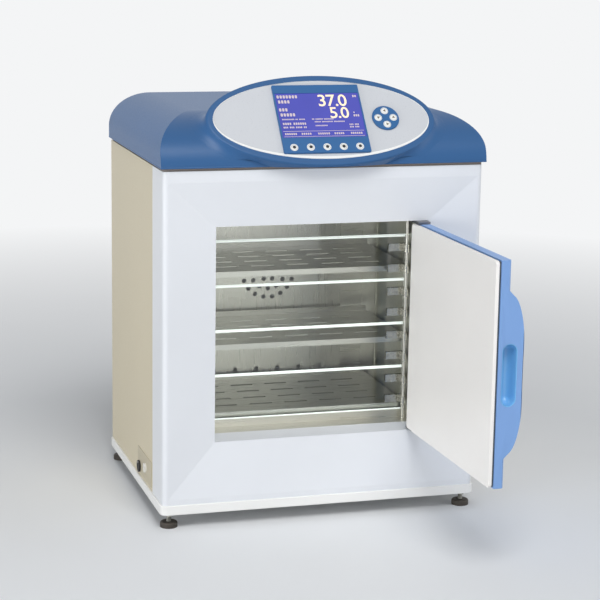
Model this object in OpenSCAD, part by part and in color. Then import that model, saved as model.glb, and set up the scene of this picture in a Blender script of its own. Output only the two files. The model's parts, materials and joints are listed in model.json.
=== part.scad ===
// Bench-top carbon dioxide incubator with its outer door standing open.
// The front faces -Y. The origin is on the bench, under the middle of the body.

/* [Body] */
// Width over the side walls
body_w = 580; // [572:1:600]
// Depth from the front of the fascia to the rear panel
body_d = 463; // [455:1:490]
// Height of the side walls and of the fascia
body_h = 590; // [586:1:610]
// Thickness of the painted sheet
sheet_t = 1.5; // [1:0.1:2]
// Open joint between the fascia and the side walls
seam_gap = 1; // [0.6:0.1:1.5]

/* [Base and feet] */
// Height of the base tray
tray_h = 17; // [15:0.5:22]
// How far the base tray stands out all round
tray_proud = 3.4; // [2:0.2:6]
// Corner radius of the base tray
tray_corner_r = 12; // [8:1:20]
// Diameter of a foot's pad
pad_d = 31; // [26:1:36]
// Height of a foot's pad
pad_h = 10; // [8:0.5:12]
// Diameter of a foot's stud
stud_d = 8; // [7:0.5:10]
// Clear height between a pad and the base tray
stud_gap = 16; // [12:0.5:20]
// Distance of the feet from the side walls
foot_side = 15; // [15:1:30]
// Distance of the front feet from the fascia's front
foot_front = 18; // [16:1:30]
// Distance of the rear feet from the rear panel
foot_rear = 15; // [15:1:30]

/* [Fascia] */
// Depth of the fascia's side returns
fascia_d = 85; // [80:1:95]
// Wall of the moulded fascia
fascia_t = 3; // [2.5:0.25:4]
// Radius of the fascia's upright corners
corner_r = 9; // [7:0.5:12]
// Width of the fascia beside the opening
side_w = 96; // [92:1:104]
// Height of the fascia over the opening
head_h = 99; // [92:1:104]
// Height of the opening's sill above the base tray
sill_h = 107; // [105:1:112]
// Width of the sloped band over the opening
bevel_top = 79; // [70:1:84]
// Width of the sloped band under the opening
bevel_foot = 97; // [88:1:100]
// How deep the sloped band runs in
bevel_d = 12; // [8:0.5:16]
// Depth of the fascia's own lining of the opening
sleeve_d = 68; // [60:1:74]

/* [Chamber] */
// How much wider the chamber is than the opening, on each side
chamber_side = 8; // [6:1:12]
// Space for the fan's motor and the wiring behind the chamber
back_space = 63; // [56:1:70]
// How far the chamber's floor lies under the sill
well_d = 24; // [20:1:28]
// How far the chamber's roof lies over the opening
dome_h = 14; // [10:1:18]
// Thickness of the chamber's steel
chamber_t = 1.5; // [1:0.1:2]
// Radius of the chamber's coved corners
cove_r = 22; // [16:1:26]
// Width of the flange round the chamber's mouth
mouth_flange = 12; // [8:1:16]

/* [Glass doors] */
// Thickness of the glass
pane_t = 5; // [4:0.5:6]
// Height of the fixed glass over the glass doors
transom_h = 43; // [36:0.5:50]
// Gap between two glass doors
pane_gap = 1.2; // [1:0.1:2]
// Height of the rail under the glass doors
rail_h = 13; // [10:0.5:16]
// Depth of the steel collar round the glass doors
collar_d = 45; // [42:1:50]
// Width of the lip that the glass doors close on
lip_w = 6; // [4:0.5:8]
// Thickness of that lip
lip_t = 2; // [1.5:0.25:3]
// Diameter of the glass doors' pivot rod
rod_d = 5; // [4:0.5:6]
// Distance of the pivot rod from the side of the opening
rod_side = 10; // [9:0.5:12]
// Distance of the pivot rod in front of the glass
rod_front = 16; // [15:0.5:18]
// Diameter of a glass door's knob
knob_d = 14; // [12:0.5:18]
// Length of a glass door's knob
knob_l = 15; // [12:0.5:18]

/* [Shelves] */
// Thickness of a shelf
shelf_t = 1.2; // [1:0.1:1.6]
// Gap between a shelf and the air duct
shelf_duct_gap = 14; // [10:1:24]
// Height of a shelf's front edge
shelf_lip = 10; // [8:0.5:12]
// Height of the lowest shelf over the sill
shelf_low_h = 23; // [20:1:26]
// Distance of the top shelf under the opening's head
shelf_top_drop = 101; // [92:1:110]
// Height of the middle shelf between the other two
shelf_middle_share = 0.485; // [0.4:0.005:0.6]
// Height of the humidity pan
pan_h = 28; // [20:1:30]

/* [Air system] */
// Depth of the air duct along the chamber's back
duct_d = 27; // [25:1:30]
// Width of the air duct
duct_w = 300; // [270:1:320]
// Diameter of the fan wheel
fan_d = 140; // [120:1:150]
// Distance of the fan's axis under the opening's head
fan_drop = 152; // [140:1:160]
// Diameter of the fan's shaft
shaft_d = 8; // [6:0.5:10]
// Diameter of the fan's motor
motor_d = 70; // [60:1:76]
// Length of the fan's motor
motor_l = 34; // [28:1:38]

/* [Hood] */
// Height of the hood
hood_h = 85; // [80:1:92]
// How far the hood stands out past the side walls
hood_proud = 4.5; // [3:0.25:6]
// Open joint under the hood
hood_gap = 5; // [4:0.5:7]
// Width of the hood's rounded shoulders
shoulder_w = 80; // [70:1:90]
// Height of the hood's rounded shoulders
shoulder_h = 61.5; // [56:0.5:68]
// Depth of the hood's rounded nose
nose_d = 134; // [120:1:145]
// Wall of the hood
hood_t = 3; // [2.5:0.25:4]

/* [Console] */
// Width of the console's oval face
console_w = 392; // [370:1:410]
// Height of the console's oval face
console_h = 162; // [150:1:170]
// Width of the rim round the oval face
rim_w = 13; // [10:0.5:15]
// How far the face leans back
console_tilt = 40; // [36:0.5:44]
// Distance of the face's centre behind the fascia's front
console_back = 31.7; // [30:0.5:36]
// Height of the face's centre over the hood's lower edge
console_rise = 76; // [74:0.5:80]
// Thickness of the oval face panel
panel_t = 3; // [2.5:0.25:4]
// Width of the raised display surround
surround_w = 157; // [150:1:165]
// Height of the raised display surround
surround_h = 140; // [132:1:146]
// Distance of the display to the left of the face's centre
surround_shift = 3; // [0:0.5:4]
// How far the display surround stands out
surround_t = 4; // [3:0.5:5]
// Width of the display's window
window_w = 152; // [140:1:152]
// Height of the display's window
window_h = 92; // [84:1:94]
// Distance of the window from the surround's top edge
window_drop = 17; // [14:0.5:20]

/* [Keys] */
// Diameter of a key under the display
softkey_d = 10; // [8:0.5:12]
// Distance between the keys under the display
softkey_pitch = 29.7; // [28:0.1:30]
// Height of those keys over the surround's lower edge
softkey_rise = 11; // [9:0.5:13]
// Diameter of the round pad that holds the arrow keys
dial_d = 49; // [46:1:54]
// Distance of that pad's centre from the face's centre
dial_offset = 115.3; // [112:0.5:122]
// Diameter of an arrow key
arrow_d = 11; // [9:0.5:12]
// Distance of the arrow keys from the pad's centre
arrow_ring_r = 14; // [13:0.5:15]
// Travel of every key
key_travel = 1; // [0.6:0.1:1.2]

/* [Door] */
// Angle at which the door stands open
door_open = 91; // [85:1:95]
// Gap between the door and the opening
door_gap = 3; // [2.5:0.25:4]
// Gap at the door's upright edges
door_edge_gap = 4; // [3.5:0.25:5]
// Thickness of the coloured shell
shell_t = 16; // [14:0.5:18]
// Wall of the coloured shell
shell_wall = 3; // [2.5:0.25:4]
// Thickness of the door's dark seal
seal_t = 3; // [2:0.5:4]
// Thickness of the white liner
liner_t = 6; // [5:0.5:8]
// Distance of the pivot from the side of the opening
pivot_side = 13; // [13:0.5:14]
// Distance of the pivot behind the fascia's front
pivot_back = 3; // [2:0.5:4]
// Distance of the pivot behind the door's outer face
pivot_depth = 7; // [6.5:0.5:8]
// Diameter of the hinge pin
hinge_pin_d = 6; // [5:0.5:6]
// Thickness of a hinge plate
hinge_plate_t = 5; // [4.5:0.25:6]
// Height of the swelling that holds the grip, as a share of the door's
grip_share = 0.704; // [0.6:0.002:0.76]
// How far that swelling stands out
grip_proud = 24; // [20:0.5:26]
// Length of the finger recess
recess_h = 103; // [90:1:110]
// Width of the finger recess
recess_w = 25; // [22:0.5:26]
// Distance of the recess's middle from the liner's face
recess_in = 28.5; // [26:0.5:30]
// Depth of the finger recess
recess_d = 26; // [20:1:30]

/* [Service plate] */
// Length of the plate low on the left side
plate_w = 120; // [110:1:130]
// Height of that plate
plate_h = 47; // [42:1:50]
// Distance of the plate from the fascia's front
plate_back = 90; // [88:1:100]
// Height of the plate over the base tray
plate_rise = 6; // [4:0.5:10]
// Diameter of the thermostat's dial
thermostat_d = 22; // [18:0.5:24]
// Diameter of the sampling port
sample_d = 18; // [14:0.5:20]

/* [Hidden] */
$fn = 64;

// Overrun of every cut past the surface that it opens
cut = 1;
// Clearance of a part that runs in a bore, on the radius
run_gap = 0.05;
// Clearance between parts that move past each other
slip_gap = 0.4;

// Levels and depths that the pieces share
front = -body_d / 2;
rear = body_d / 2;
base_z = pad_h + stud_gap;
body_z = base_z + tray_h;
body_top = body_z + body_h;
hood_z = body_top + hood_gap;
hood_top = hood_z + hood_h;
sill_z = body_z + sill_h;
head_z = body_top - head_h;
half_body = body_w / 2;
half_opening = half_body - side_w;
bevel_side = side_w - corner_r;

// Steel frame of the glass doors and the chamber behind it
lip_y = front + sleeve_d + collar_d;
mouth_y = lip_y + lip_t;
chamber_back = rear - back_space;
chamber_d = chamber_back - mouth_y;
chamber_w = 2 * (half_opening + chamber_side);
floor_z = sill_z - well_d;
roof_z = head_z + dome_h;
chamber_mid_z = (floor_z + roof_z) / 2;
chamber_h = roof_z - floor_z;
frame_half_w = chamber_w / 2 + mouth_flange;
// Free depth behind the insulation, for the wiring
rear_space = 20;
insulation_end = rear - sheet_t - rear_space;

// Glass doors: they turn on one rod and close on the lip
pane_count = 4;
pane_pitch = (head_z - sill_z - rail_h - transom_h) / pane_count;
pane_seat_gap = 0.3;
pane_y = lip_y - pane_seat_gap - pane_t;
pane_free_gap = 4;
pane_heel = 2;
rod_x = half_opening - rod_side;
rod_y = pane_y - rod_front;
rail_top = sill_z + rail_h;
panes_top = rail_top + pane_count * pane_pitch;
clamp_t = 1.5;
clamp_h = 14;
clamp_l = 32;
barrel_wall = 2;

// Shelves
shelf_back_from_mouth = 8;
shelf_side_gap = 5;
runner_w = 12;
runner_h = 8;
upright_w = 20;
upright_share = [0.16, 0.84];
shelf_half_w = chamber_w / 2 - shelf_side_gap;
shelf_y = mouth_y + shelf_back_from_mouth;
duct_y = chamber_back - duct_d;
shelf_d = duct_y - shelf_duct_gap - shelf_y;
shelf_low_z = sill_z + shelf_low_h;
shelf_top_z = head_z - shelf_top_drop;
shelf_middle_z = shelf_low_z + shelf_middle_share * (shelf_top_z - shelf_low_z);

// Air system
duct_t = 1.2;
fan_z = head_z - fan_drop;
fan_gap = 4;
fan_blades = 14;
fan_hub_d = 30;
heater_gap = 13;
heater_r = fan_d / 2 + heater_gap;
heater_tube_d = 8;
heater_leg_d = 5.6;

// Door, drawn closed with its pivot at x = 0, y = 0
pivot_x = half_opening - pivot_side;
pivot_y = front + pivot_back;
door_heel = pivot_side - door_edge_gap;
door_free = pivot_x + half_opening - door_edge_gap;
door_z0 = sill_z + door_gap;
door_z1 = head_z - door_gap;
door_mid_z = (door_z0 + door_z1) / 2;
shell_y = -pivot_depth;
seal_y = shell_y + shell_t;
liner_y = seal_y + seal_t;
recess_mid = liner_y + liner_t - recess_in;
notch_l = 18;
plate_heel = 10;
plate_front = 11;
plate_inner = 12;
plate_back_l = 27;
pin_l = 12;
pin_hole_l = pin_l + hinge_plate_t - door_gap;
door_corner_r = 9;
liner_inset = 1.5;
seal_inset = 3;
grip_l = 96;
grip_flat = 26;
grip_h = grip_share * (door_z1 - door_z0);
seal_w = 12;

// Hood and console
hood_front = front - hood_proud;
face_y = front + console_back;
face_z = hood_z + console_rise;
face_a = console_w / 2;
face_b = console_h / 2;
rim_round = 6;
rim_straight = 14;
console_depth = 100;
ledge_w = 5;
softkey_y = softkey_rise - surround_h / 2;
key_stand = 1.2;
key_floor = key_travel + slip_gap;
arrow_pad_t = 3;

// Service plate
service_t = 1;
service_y = front + plate_back;
service_z = body_z + plate_rise;
dial_share = [0.86, 0.25];
port_share = [0.42, 0.5];
dial_t = 3;
dial_slot_share = 0.7;
dial_stem_d = 6;
pocket_d = 45;

// Rounded rectangle, centred
module rounded(w, h, r) {
    square([w - 2 * r, h], center = true);
    square([w, h - 2 * r], center = true);
    for (x = [r - w / 2, w / 2 - r], y = [r - h / 2, h / 2 - r])
        translate([x, y]) circle(r);
}

// Rectangle between two corners
module rect(a, b) {
    translate(a) square(b - a);
}

// Box between two corners
module block(a, b) {
    translate(a) cube(b - a);
}

// Outline drawn in X and Z, drawn out along Y
module along_y(from, to) {
    translate([0, to, 0]) rotate([90, 0, 0]) linear_extrude(to - from) children();
}

// Outline drawn in Y and Z, drawn out along X
module along_x(from, to) {
    translate([from, 0, 0]) rotate([90, 0, 90]) linear_extrude(to - from) children();
}

// Round bar along Y
module bar_y(x, z, from, to, d) {
    translate([x, to, z]) rotate([90, 0, 0]) cylinder(h = to - from, d = d);
}

// Round bar along X
module bar_x(y, z, from, to, d) {
    translate([from, y, z]) rotate([0, 90, 0]) cylinder(h = to - from, d = d);
}

// Copy on each side of the middle plane
module both_sides() {
    children();
    mirror([1, 0, 0]) children();
}

// Base and feet
foot_places = [for (x = [foot_side - half_body, half_body - foot_side],
    y = [front + foot_front, rear - foot_rear]) [x, y, 0]];
boss_wall = 4;
stud_engaged = 12;
nut_h = 6.5;
nut_across = 13;
tray_w = body_w + 2 * tray_proud;
tray_l = body_d + 2 * tray_proud;

module base_tray() {
    color("white") {
        difference() {
            translate([0, 0, base_z]) linear_extrude(tray_h) rounded(tray_w, tray_l, tray_corner_r);
            translate([0, 0, base_z - cut]) linear_extrude(tray_h - 2 * sheet_t + cut)
                rounded(tray_w - 4 * sheet_t, tray_l - 4 * sheet_t, tray_corner_r - 2 * sheet_t);
        }
        for (p = foot_places)
            translate(p + [0, 0, base_z]) difference() {
                cylinder(h = tray_h - 2 * sheet_t, d = stud_d + 2 * boss_wall);
                translate([0, 0, -cut]) cylinder(h = stud_engaged + 2 * cut, r = stud_d / 2 + run_gap);
            }
    }
}

module foot_nuts() {
    color("silver")
        for (p = foot_places)
            translate(p + [0, 0, base_z - nut_h]) difference() {
                cylinder(h = nut_h, d = nut_across / cos(30), $fn = 6);
                translate([0, 0, -cut]) cylinder(h = nut_h + 2 * cut, r = stud_d / 2 + run_gap);
            }
}

module foot(place) {
    shoulder_r = pad_h / 3;
    color("dimgray") translate(place) {
        rotate_extrude() {
            rect([0, 0], [pad_d / 2, pad_h - shoulder_r]);
            rect([0, 0], [pad_d / 2 - shoulder_r, pad_h]);
            translate([pad_d / 2 - shoulder_r, pad_h - shoulder_r]) intersection() {
                circle(shoulder_r);
                square(shoulder_r);
            }
        }
        cylinder(h = base_z + stud_engaged, d = stud_d);
    }
}

module foot_front_left() { foot(foot_places[0]); }
module foot_rear_left() { foot(foot_places[1]); }
module foot_front_right() { foot(foot_places[2]); }
module foot_rear_right() { foot(foot_places[3]); }

// Outer sheet: two side walls and a roof, with a turned edge at the back
wrap_y = front + fascia_d + seam_gap;
turned_edge = 12;

module cabinet_wrap() {
    color("beige") difference() {
        block([-half_body, wrap_y, body_z], [half_body, rear, body_top]);
        block([sheet_t - half_body, wrap_y - cut, body_z - cut],
            [half_body - sheet_t, rear - 2 * sheet_t, body_top - sheet_t]);
        block([turned_edge - half_body, wrap_y, body_z - cut],
            [half_body - turned_edge, rear + cut, body_top - turned_edge]);
        service_cuts();
    }
}

// Openings of the dial and the port in the side wall
module service_cuts() {
    outer = -half_body - 2 * cut;
    inner = -half_body + 2 * cut;
    bar_x(service_y + dial_share[0] * plate_w, service_z + dial_share[1] * plate_h, outer, inner,
        dial_stem_d + 2 * run_gap);
    bar_x(service_y + port_share[0] * plate_w, service_z + port_share[1] * plate_h,
        outer, inner, sample_d / 2);
}

// Rear panel with its louvres
louvre_count = 9;
louvre_w = 90;
louvre_h = 4;
louvre_pitch = 11;
inlet_w = 28;
inlet_h = 20;
inlet_share = [-0.36, 0.1];
gas_share = [-0.2, 0.1];
gas_stem_d = 10;
inlet_x = inlet_share[0] * body_w;
inlet_z = body_z + inlet_share[1] * body_h;
gas_x = gas_share[0] * body_w;
gas_z = body_z + gas_share[1] * body_h;

module rear_panel() {
    color("gainsboro") difference() {
        along_y(rear - 2 * sheet_t - sheet_t, rear - 2 * sheet_t)
            rect([sheet_t - half_body, body_z], [half_body - sheet_t, body_top - sheet_t]);
        for (i = [0 : louvre_count - 1], x = [-body_w / 4, body_w / 4])
            translate([x, rear, fan_z + i * louvre_pitch]) rotate([90, 0, 0])
                linear_extrude(fascia_d, center = true) rounded(louvre_w, louvre_h, louvre_h / 2 - slip_gap);
        along_y(rear - fascia_d, rear + cut)
            translate([inlet_x, inlet_z]) square([inlet_w, inlet_h], center = true);
        bar_y(gas_x, gas_z, rear - fascia_d, rear + cut, gas_stem_d);
    }
}

inlet_depth = 16;
inlet_flange = 10;
inlet_blade = [2, 12, 5];

module power_inlet() {
    plane = rear - 2 * sheet_t;
    blade_y = plane - inlet_depth + 2 * sheet_t + inlet_blade[1] / 2;
    color("black") difference() {
        union() {
            along_y(plane, plane + 2 * sheet_t + cut)
                translate([inlet_x, inlet_z])
                    rounded(inlet_w + inlet_flange, inlet_h + inlet_flange, inlet_flange / 2);
            along_y(plane - inlet_depth, plane)
                translate([inlet_x, inlet_z]) square([inlet_w, inlet_h], center = true);
        }
        along_y(plane - inlet_depth + 2 * sheet_t, rear + 2 * cut)
            translate([inlet_x, inlet_z])
                square([inlet_w - 2 * sheet_t, inlet_h - 2 * sheet_t], center = true);
    }
    color("silver")
        for (step = [-1, 0, 1])
            translate([inlet_x + step * inlet_w / 4, blade_y, inlet_z]) cube(inlet_blade, center = true);
}

gas_barb_l = 14;
gas_barb_d = 8;
gas_hex = 14;
gas_bore_d = 4;

module gas_inlet() {
    plane = rear - 2 * sheet_t;
    color("goldenrod") difference() {
        union() {
            translate([gas_x, plane, gas_z]) rotate([-90, 0, 0])
                cylinder(h = 2 * sheet_t + cut, d = gas_hex, $fn = 6);
            bar_y(gas_x, gas_z, plane - gas_barb_l, plane + gas_barb_l, gas_barb_d);
            bar_y(gas_x, gas_z, plane - sheet_t, plane, gas_stem_d);
            for (step = [1, 2])
                translate([0, plane + step * gas_barb_l / 3 + sheet_t, 0])
                    bar_y(gas_x, gas_z, 0, sheet_t, gas_barb_d + sheet_t);
        }
        bar_y(gas_x, gas_z, plane - gas_barb_l - cut, plane + gas_barb_l + cut, gas_bore_d);
    }
}

// Sloped band round the opening: two crossing wedges, so that its corners mitre
module bevel(offset_in) {
    side = half_opening + bevel_side;
    intersection() {
        translate([0, offset_in, 0]) linear_extrude(body_top) polygon([
            [-side, front - cut], [side, front - cut], [side, front],
            [half_opening, front + bevel_d], [-half_opening, front + bevel_d], [-side, front]]);
        translate([0, offset_in, 0]) along_x(-half_body, half_body) polygon([
            [front - cut, sill_z - bevel_foot], [front, sill_z - bevel_foot], [front + bevel_d, sill_z],
            [front + bevel_d, head_z], [front, head_z + bevel_top], [front - cut, head_z + bevel_top]]);
    }
}

// Fascia: front skin, side returns and the lining of the opening
groove_w = 2;
groove_y = front + bevel_d + groove_w / 2;

module fascia() {
    lining_z = [sill_z - fascia_t, head_z + fascia_t];
    color("aliceblue") difference() {
        translate([0, 0, body_z]) linear_extrude(body_h) {
            rect([-half_body, front + corner_r], [half_body, front + fascia_d]);
            rect([corner_r - half_body, front], [half_body - corner_r, front + fascia_d]);
            for (x = [corner_r - half_body, half_body - corner_r])
                translate([x, front + corner_r]) circle(corner_r);
        }
        bevel(0);
        along_y(front - cut, front + fascia_d + cut) rect([-half_opening, sill_z], [half_opening, head_z]);
        difference() {
            block([fascia_t - half_body, front + fascia_t, body_z + fascia_t],
                [half_body - fascia_t, front + fascia_d + cut, body_top - fascia_t]);
            for (x = [-half_body, half_body])
                block([min(x, x - sign(x) * corner_r), front, body_z],
                    [max(x, x - sign(x) * corner_r), front + corner_r, body_top]);
            bevel(fascia_t);
            along_y(front, front + sleeve_d)
                rect([-half_opening - fascia_t, lining_z[0]], [half_opening + fascia_t, lining_z[1]]);
        }
        along_y(groove_y, groove_y + groove_w) difference() {
            rect([-half_opening - fascia_t / 2, sill_z - fascia_t / 2],
                [half_opening + fascia_t / 2, head_z + fascia_t / 2]);
            rect([-half_opening, sill_z], [half_opening, head_z]);
        }
    }
}

// Outer form of the chamber, grown by its wall
module chamber_form(grow, from, to) {
    along_y(from, to) translate([0, chamber_mid_z])
        rounded(chamber_w + 2 * grow, chamber_h + 2 * grow, cove_r + grow);
}

module frame_flange(from, to) {
    along_y(from, to) rect([-frame_half_w, floor_z - mouth_flange], [frame_half_w, roof_z + mouth_flange]);
}

module insulation() {
    color("khaki") difference() {
        block([sheet_t - half_body, wrap_y, body_z],
            [half_body - sheet_t, insulation_end, body_top - sheet_t]);
        along_y(wrap_y - cut, lip_y)
            rect([-half_opening - sheet_t, sill_z - sheet_t], [half_opening + sheet_t, head_z + sheet_t]);
        frame_flange(lip_y - cut / 2, mouth_y + chamber_t);
        chamber_form(chamber_t, mouth_y, chamber_back + chamber_t);
        bar_y(0, fan_z, chamber_back, rear, motor_d + 2 * sheet_t);
        block([-half_body, service_y, service_z],
            [pocket_d - half_body, service_y + plate_w, service_z + plate_h]);
    }
}

// Chamber: one coved steel box with a flange round its mouth
shaft_hole_d = shaft_d + 4;

module chamber() {
    color("silver") difference() {
        union() {
            chamber_form(chamber_t, mouth_y, chamber_back + chamber_t);
            frame_flange(mouth_y, mouth_y + chamber_t);
        }
        chamber_form(0, mouth_y - cut, chamber_back);
        bar_y(0, fan_z, chamber_back - cut, chamber_back + 2 * cut + chamber_t, shaft_hole_d);
    }
}

module glass_frame() {
    color("lightgray") {
        along_y(front + sleeve_d, lip_y) difference() {
            rect([-half_opening - sheet_t, sill_z - sheet_t], [half_opening + sheet_t, head_z + sheet_t]);
            rect([-half_opening, sill_z], [half_opening, head_z]);
        }
        difference() {
            frame_flange(lip_y, mouth_y);
            along_y(lip_y - cut, mouth_y + cut)
                rect([lip_w - half_opening, rail_top], [half_opening - lip_w, head_z - lip_w]);
        }
        along_y(pane_y - clamp_t, lip_y) rect([-half_opening, sill_z], [half_opening, rail_top]);
        translate([rod_x, rod_y, sill_z - sheet_t / 2]) cylinder(h = head_z - sill_z + sheet_t, d = rod_d);
    }
}

module transom_glass() {
    color("azure", 0.4) along_y(lip_y - pane_t, lip_y)
        rect([-half_opening, panes_top + pane_gap / 2], [half_opening, head_z]);
}

// Glass door number i, counted from the sill
function pane_z(i) = rail_top + pane_gap / 2 + (i - 1) * pane_pitch;
pane_h = pane_pitch - pane_gap;
pane_heel_x = rod_x + pane_heel;

module pane(i) {
    color("azure", 0.4) along_y(pane_y, pane_y + pane_t)
        rect([pane_free_gap - half_opening, pane_z(i)], [pane_heel_x, pane_z(i) + pane_h]);
}

module pane_fittings(i) {
    color("silver") {
        for (z = [pane_z(i) + clamp_h, pane_z(i) + pane_h - 2 * clamp_h])
            difference() {
                translate([0, 0, z]) linear_extrude(clamp_h) {
                    translate([rod_x, rod_y]) circle(rod_d / 2 + barrel_wall);
                    rect([rod_x - barrel_wall, rod_y], [rod_x + barrel_wall / 2, pane_y]);
                    rect([pane_heel_x - clamp_l, pane_y - clamp_t], [pane_heel_x, pane_y]);
                    rect([pane_heel_x - clamp_l, pane_y + pane_t], [pane_heel_x, pane_y + pane_t + clamp_t]);
                    rect([pane_heel_x, pane_y - clamp_t],
                        [pane_heel_x + clamp_t / 2, pane_y + pane_t + clamp_t]);
                }
                translate([rod_x, rod_y, z - cut]) cylinder(h = clamp_h + 2 * cut, r = rod_d / 2 + run_gap);
            }
        translate([knob_d - half_opening, pane_y, pane_z(i) + pane_h / 2]) rotate([90, 0, 0])
            rotate_extrude() {
                rect([0, 0], [knob_d / 4, knob_l]);
                rect([0, knob_l - knob_d / 4], [knob_d / 2 - clamp_t, knob_l]);
                rect([0, knob_l - knob_d / 4 - clamp_t], [knob_d / 2, knob_l - clamp_t]);
                rect([0, 0], [knob_d / 3, clamp_t]);
            }
    }
}

module pane_1() { pane(1); }
module pane_2() { pane(2); }
module pane_3() { pane(3); }
module pane_4() { pane(4); }
module pane_fittings_1() { pane_fittings(1); }
module pane_fittings_2() { pane_fittings(2); }
module pane_fittings_3() { pane_fittings(3); }
module pane_fittings_4() { pane_fittings(4); }

// Shelf runners on two uprights
module rack() {
    wall = chamber_w / 2;
    color("silver") {
        for (s = upright_share)
            block([wall - sheet_t, shelf_y + s * shelf_d - upright_w / 2, floor_z + cove_r],
                [wall, shelf_y + s * shelf_d + upright_w / 2, roof_z - cove_r]);
        for (z = [shelf_low_z, shelf_middle_z, shelf_top_z])
            along_y(shelf_y + shelf_t + slip_gap, shelf_y + shelf_d)
                translate([wall - sheet_t, z - shelf_t]) {
                rect([-runner_w, -sheet_t], [0, 0]);
                rect([-sheet_t, -runner_h], [0, 0]);
            }
    }
}

module rack_right() { rack(); }
module rack_left() { mirror([1, 0, 0]) rack(); }

// Shelf with a turned-down front edge and rows of slots
slot_rows = 4;
slot_columns = 5;
slot_w = 7;
slot_share = 0.11;

module shelf(top) {
    slot_l = slot_share * chamber_w;
    color("silver") difference() {
        along_x(-shelf_half_w, shelf_half_w) {
            rect([shelf_y, top - shelf_t], [shelf_y + shelf_d, top]);
            rect([shelf_y, top - shelf_lip], [shelf_y + shelf_t, top]);
            rect([shelf_y + shelf_d - shelf_t, top], [shelf_y + shelf_d, top + shelf_lip]);
        }
        for (row = [1 : slot_rows], column = [1 : slot_columns])
            translate([chamber_w * (column / (slot_columns + 1) - 0.5),
                shelf_y + shelf_d * row / (slot_rows + 1), top])
                linear_extrude(shelf_lip, center = true) rounded(slot_l, slot_w, slot_w / 2 - slip_gap);
    }
}

module shelf_low() { shelf(shelf_low_z); }
module shelf_middle() { shelf(shelf_middle_z); }
module shelf_top() { shelf(shelf_top_z); }

pan_share = [0.8, 0.66];

module humidity_pan() {
    w = pan_share[0] * chamber_w;
    l = pan_share[1] * chamber_d;
    color("silver") translate([0, mouth_y + mouth_flange + l / 2, floor_z]) {
        difference() {
            linear_extrude(pan_h) rounded(w, l, cove_r);
            translate([0, 0, sheet_t]) linear_extrude(pan_h)
                rounded(w - 2 * sheet_t, l - 2 * sheet_t, cove_r - sheet_t);
        }
        translate([0, 0, pan_h - sheet_t]) linear_extrude(sheet_t) difference() {
            rounded(w + runner_h, l + runner_h, cove_r + runner_h / 2);
            rounded(w, l, cove_r);
        }
    }
}

// Air duct along the back: a folded cover with an inlet grille and outlet slots
grille_rings = 3;
grille_hole_d = 9;
grille_step = 17;
outlet_count = 6;
outlet_w = 8;
outlet_h = 30;

module air_duct() {
    low = floor_z + cove_r;
    high = roof_z - cove_r;
    color("silver") difference() {
        block([-duct_w / 2, duct_y, low], [duct_w / 2, chamber_back, high]);
        block([duct_t - duct_w / 2, duct_y + duct_t, low - cut],
            [duct_w / 2 - duct_t, chamber_back + cut, high + cut]);
        for (ring = [1 : grille_rings], i = [1 : 6 * ring])
            bar_y(ring * grille_step * cos(60 * i / ring), fan_z + ring * grille_step * sin(60 * i / ring),
                duct_y - cut, duct_y + 2 * cut, grille_hole_d);
        for (i = [1 : outlet_count], z = [low + outlet_h, high - outlet_h])
            translate([duct_w * (i / (outlet_count + 1) - 0.5), duct_y, z]) rotate([90, 0, 0])
                linear_extrude(3 * cut, center = true) rounded(outlet_w, outlet_h, outlet_w / 2 - slip_gap);
    }
}

// Places of the heater's two legs, in X and Z
function heater_legs() = [for (a = [-110, -70]) [heater_r * cos(a), fan_z + heater_r * sin(a)]];

module heater() {
    middle_y = (duct_y + duct_t + chamber_back) / 2;
    color("dimgray") {
        translate([0, middle_y, fan_z]) rotate([90, 0, 0])
            rotate_extrude() translate([heater_r, 0]) circle(d = heater_tube_d);
        for (p = heater_legs())
            bar_y(p[0], p[1], middle_y, chamber_back, heater_leg_d);
    }
}

module fan_motor() {
    color("dimgray") {
        bar_y(0, fan_z, chamber_back + chamber_t, chamber_back + chamber_t + motor_l, motor_d);
        bar_y(0, fan_z, duct_y + duct_t + fan_gap, chamber_back + chamber_t, shaft_d);
    }
}

// Fan wheel: a back disc, a hub and straight blades
blade_place_share = 0.36;
blade_length_share = 0.17;
blade_turn = 35;

module fan_wheel() {
    wheel_front = duct_y + duct_t + fan_gap;
    wheel_back = chamber_back - fan_gap;
    color("gainsboro") difference() {
        union() {
            bar_y(0, fan_z, wheel_back - 2 * sheet_t, wheel_back, fan_d);
            bar_y(0, fan_z, wheel_front, wheel_back, fan_hub_d);
            for (i = [1 : fan_blades])
                translate([0, wheel_back, fan_z]) rotate([90, 360 * i / fan_blades, 0])
                    translate([blade_place_share * fan_d, 0, 0]) rotate([0, 0, blade_turn])
                        linear_extrude(wheel_back - wheel_front)
                            square([blade_length_share * fan_d, sheet_t], center = true);
        }
        bar_y(0, fan_z, wheel_front - cut, wheel_back + cut, shaft_d + 2 * run_gap);
    }
}

probe_d = 6;
probe_l = 48;
cell_d = 20;
cell_l = 40;
probe_share = [-0.32, 0.3];
probe_level_share = 0.86;

module climate_probes() {
    z = floor_z + probe_level_share * chamber_h;
    color("silver") {
        bar_y(probe_share[0] * duct_w, z, duct_y - probe_l, duct_y, probe_d);
        bar_y(probe_share[0] * duct_w, z, duct_y - 2 * sheet_t, duct_y, 2 * probe_d);
        bar_y(probe_share[1] * duct_w, z, duct_y - cell_l, duct_y, cell_d);
    }
}

// Service plate low on the left side, with the safety thermostat's dial and a sampling port
module service_plate() {
    color("tan") difference() {
        along_x(-half_body - service_t, -half_body)
            translate([service_y + plate_w / 2, service_z + plate_h / 2])
                rounded(plate_w, plate_h, 2 * sheet_t);
        service_cuts();
    }
}

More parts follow.
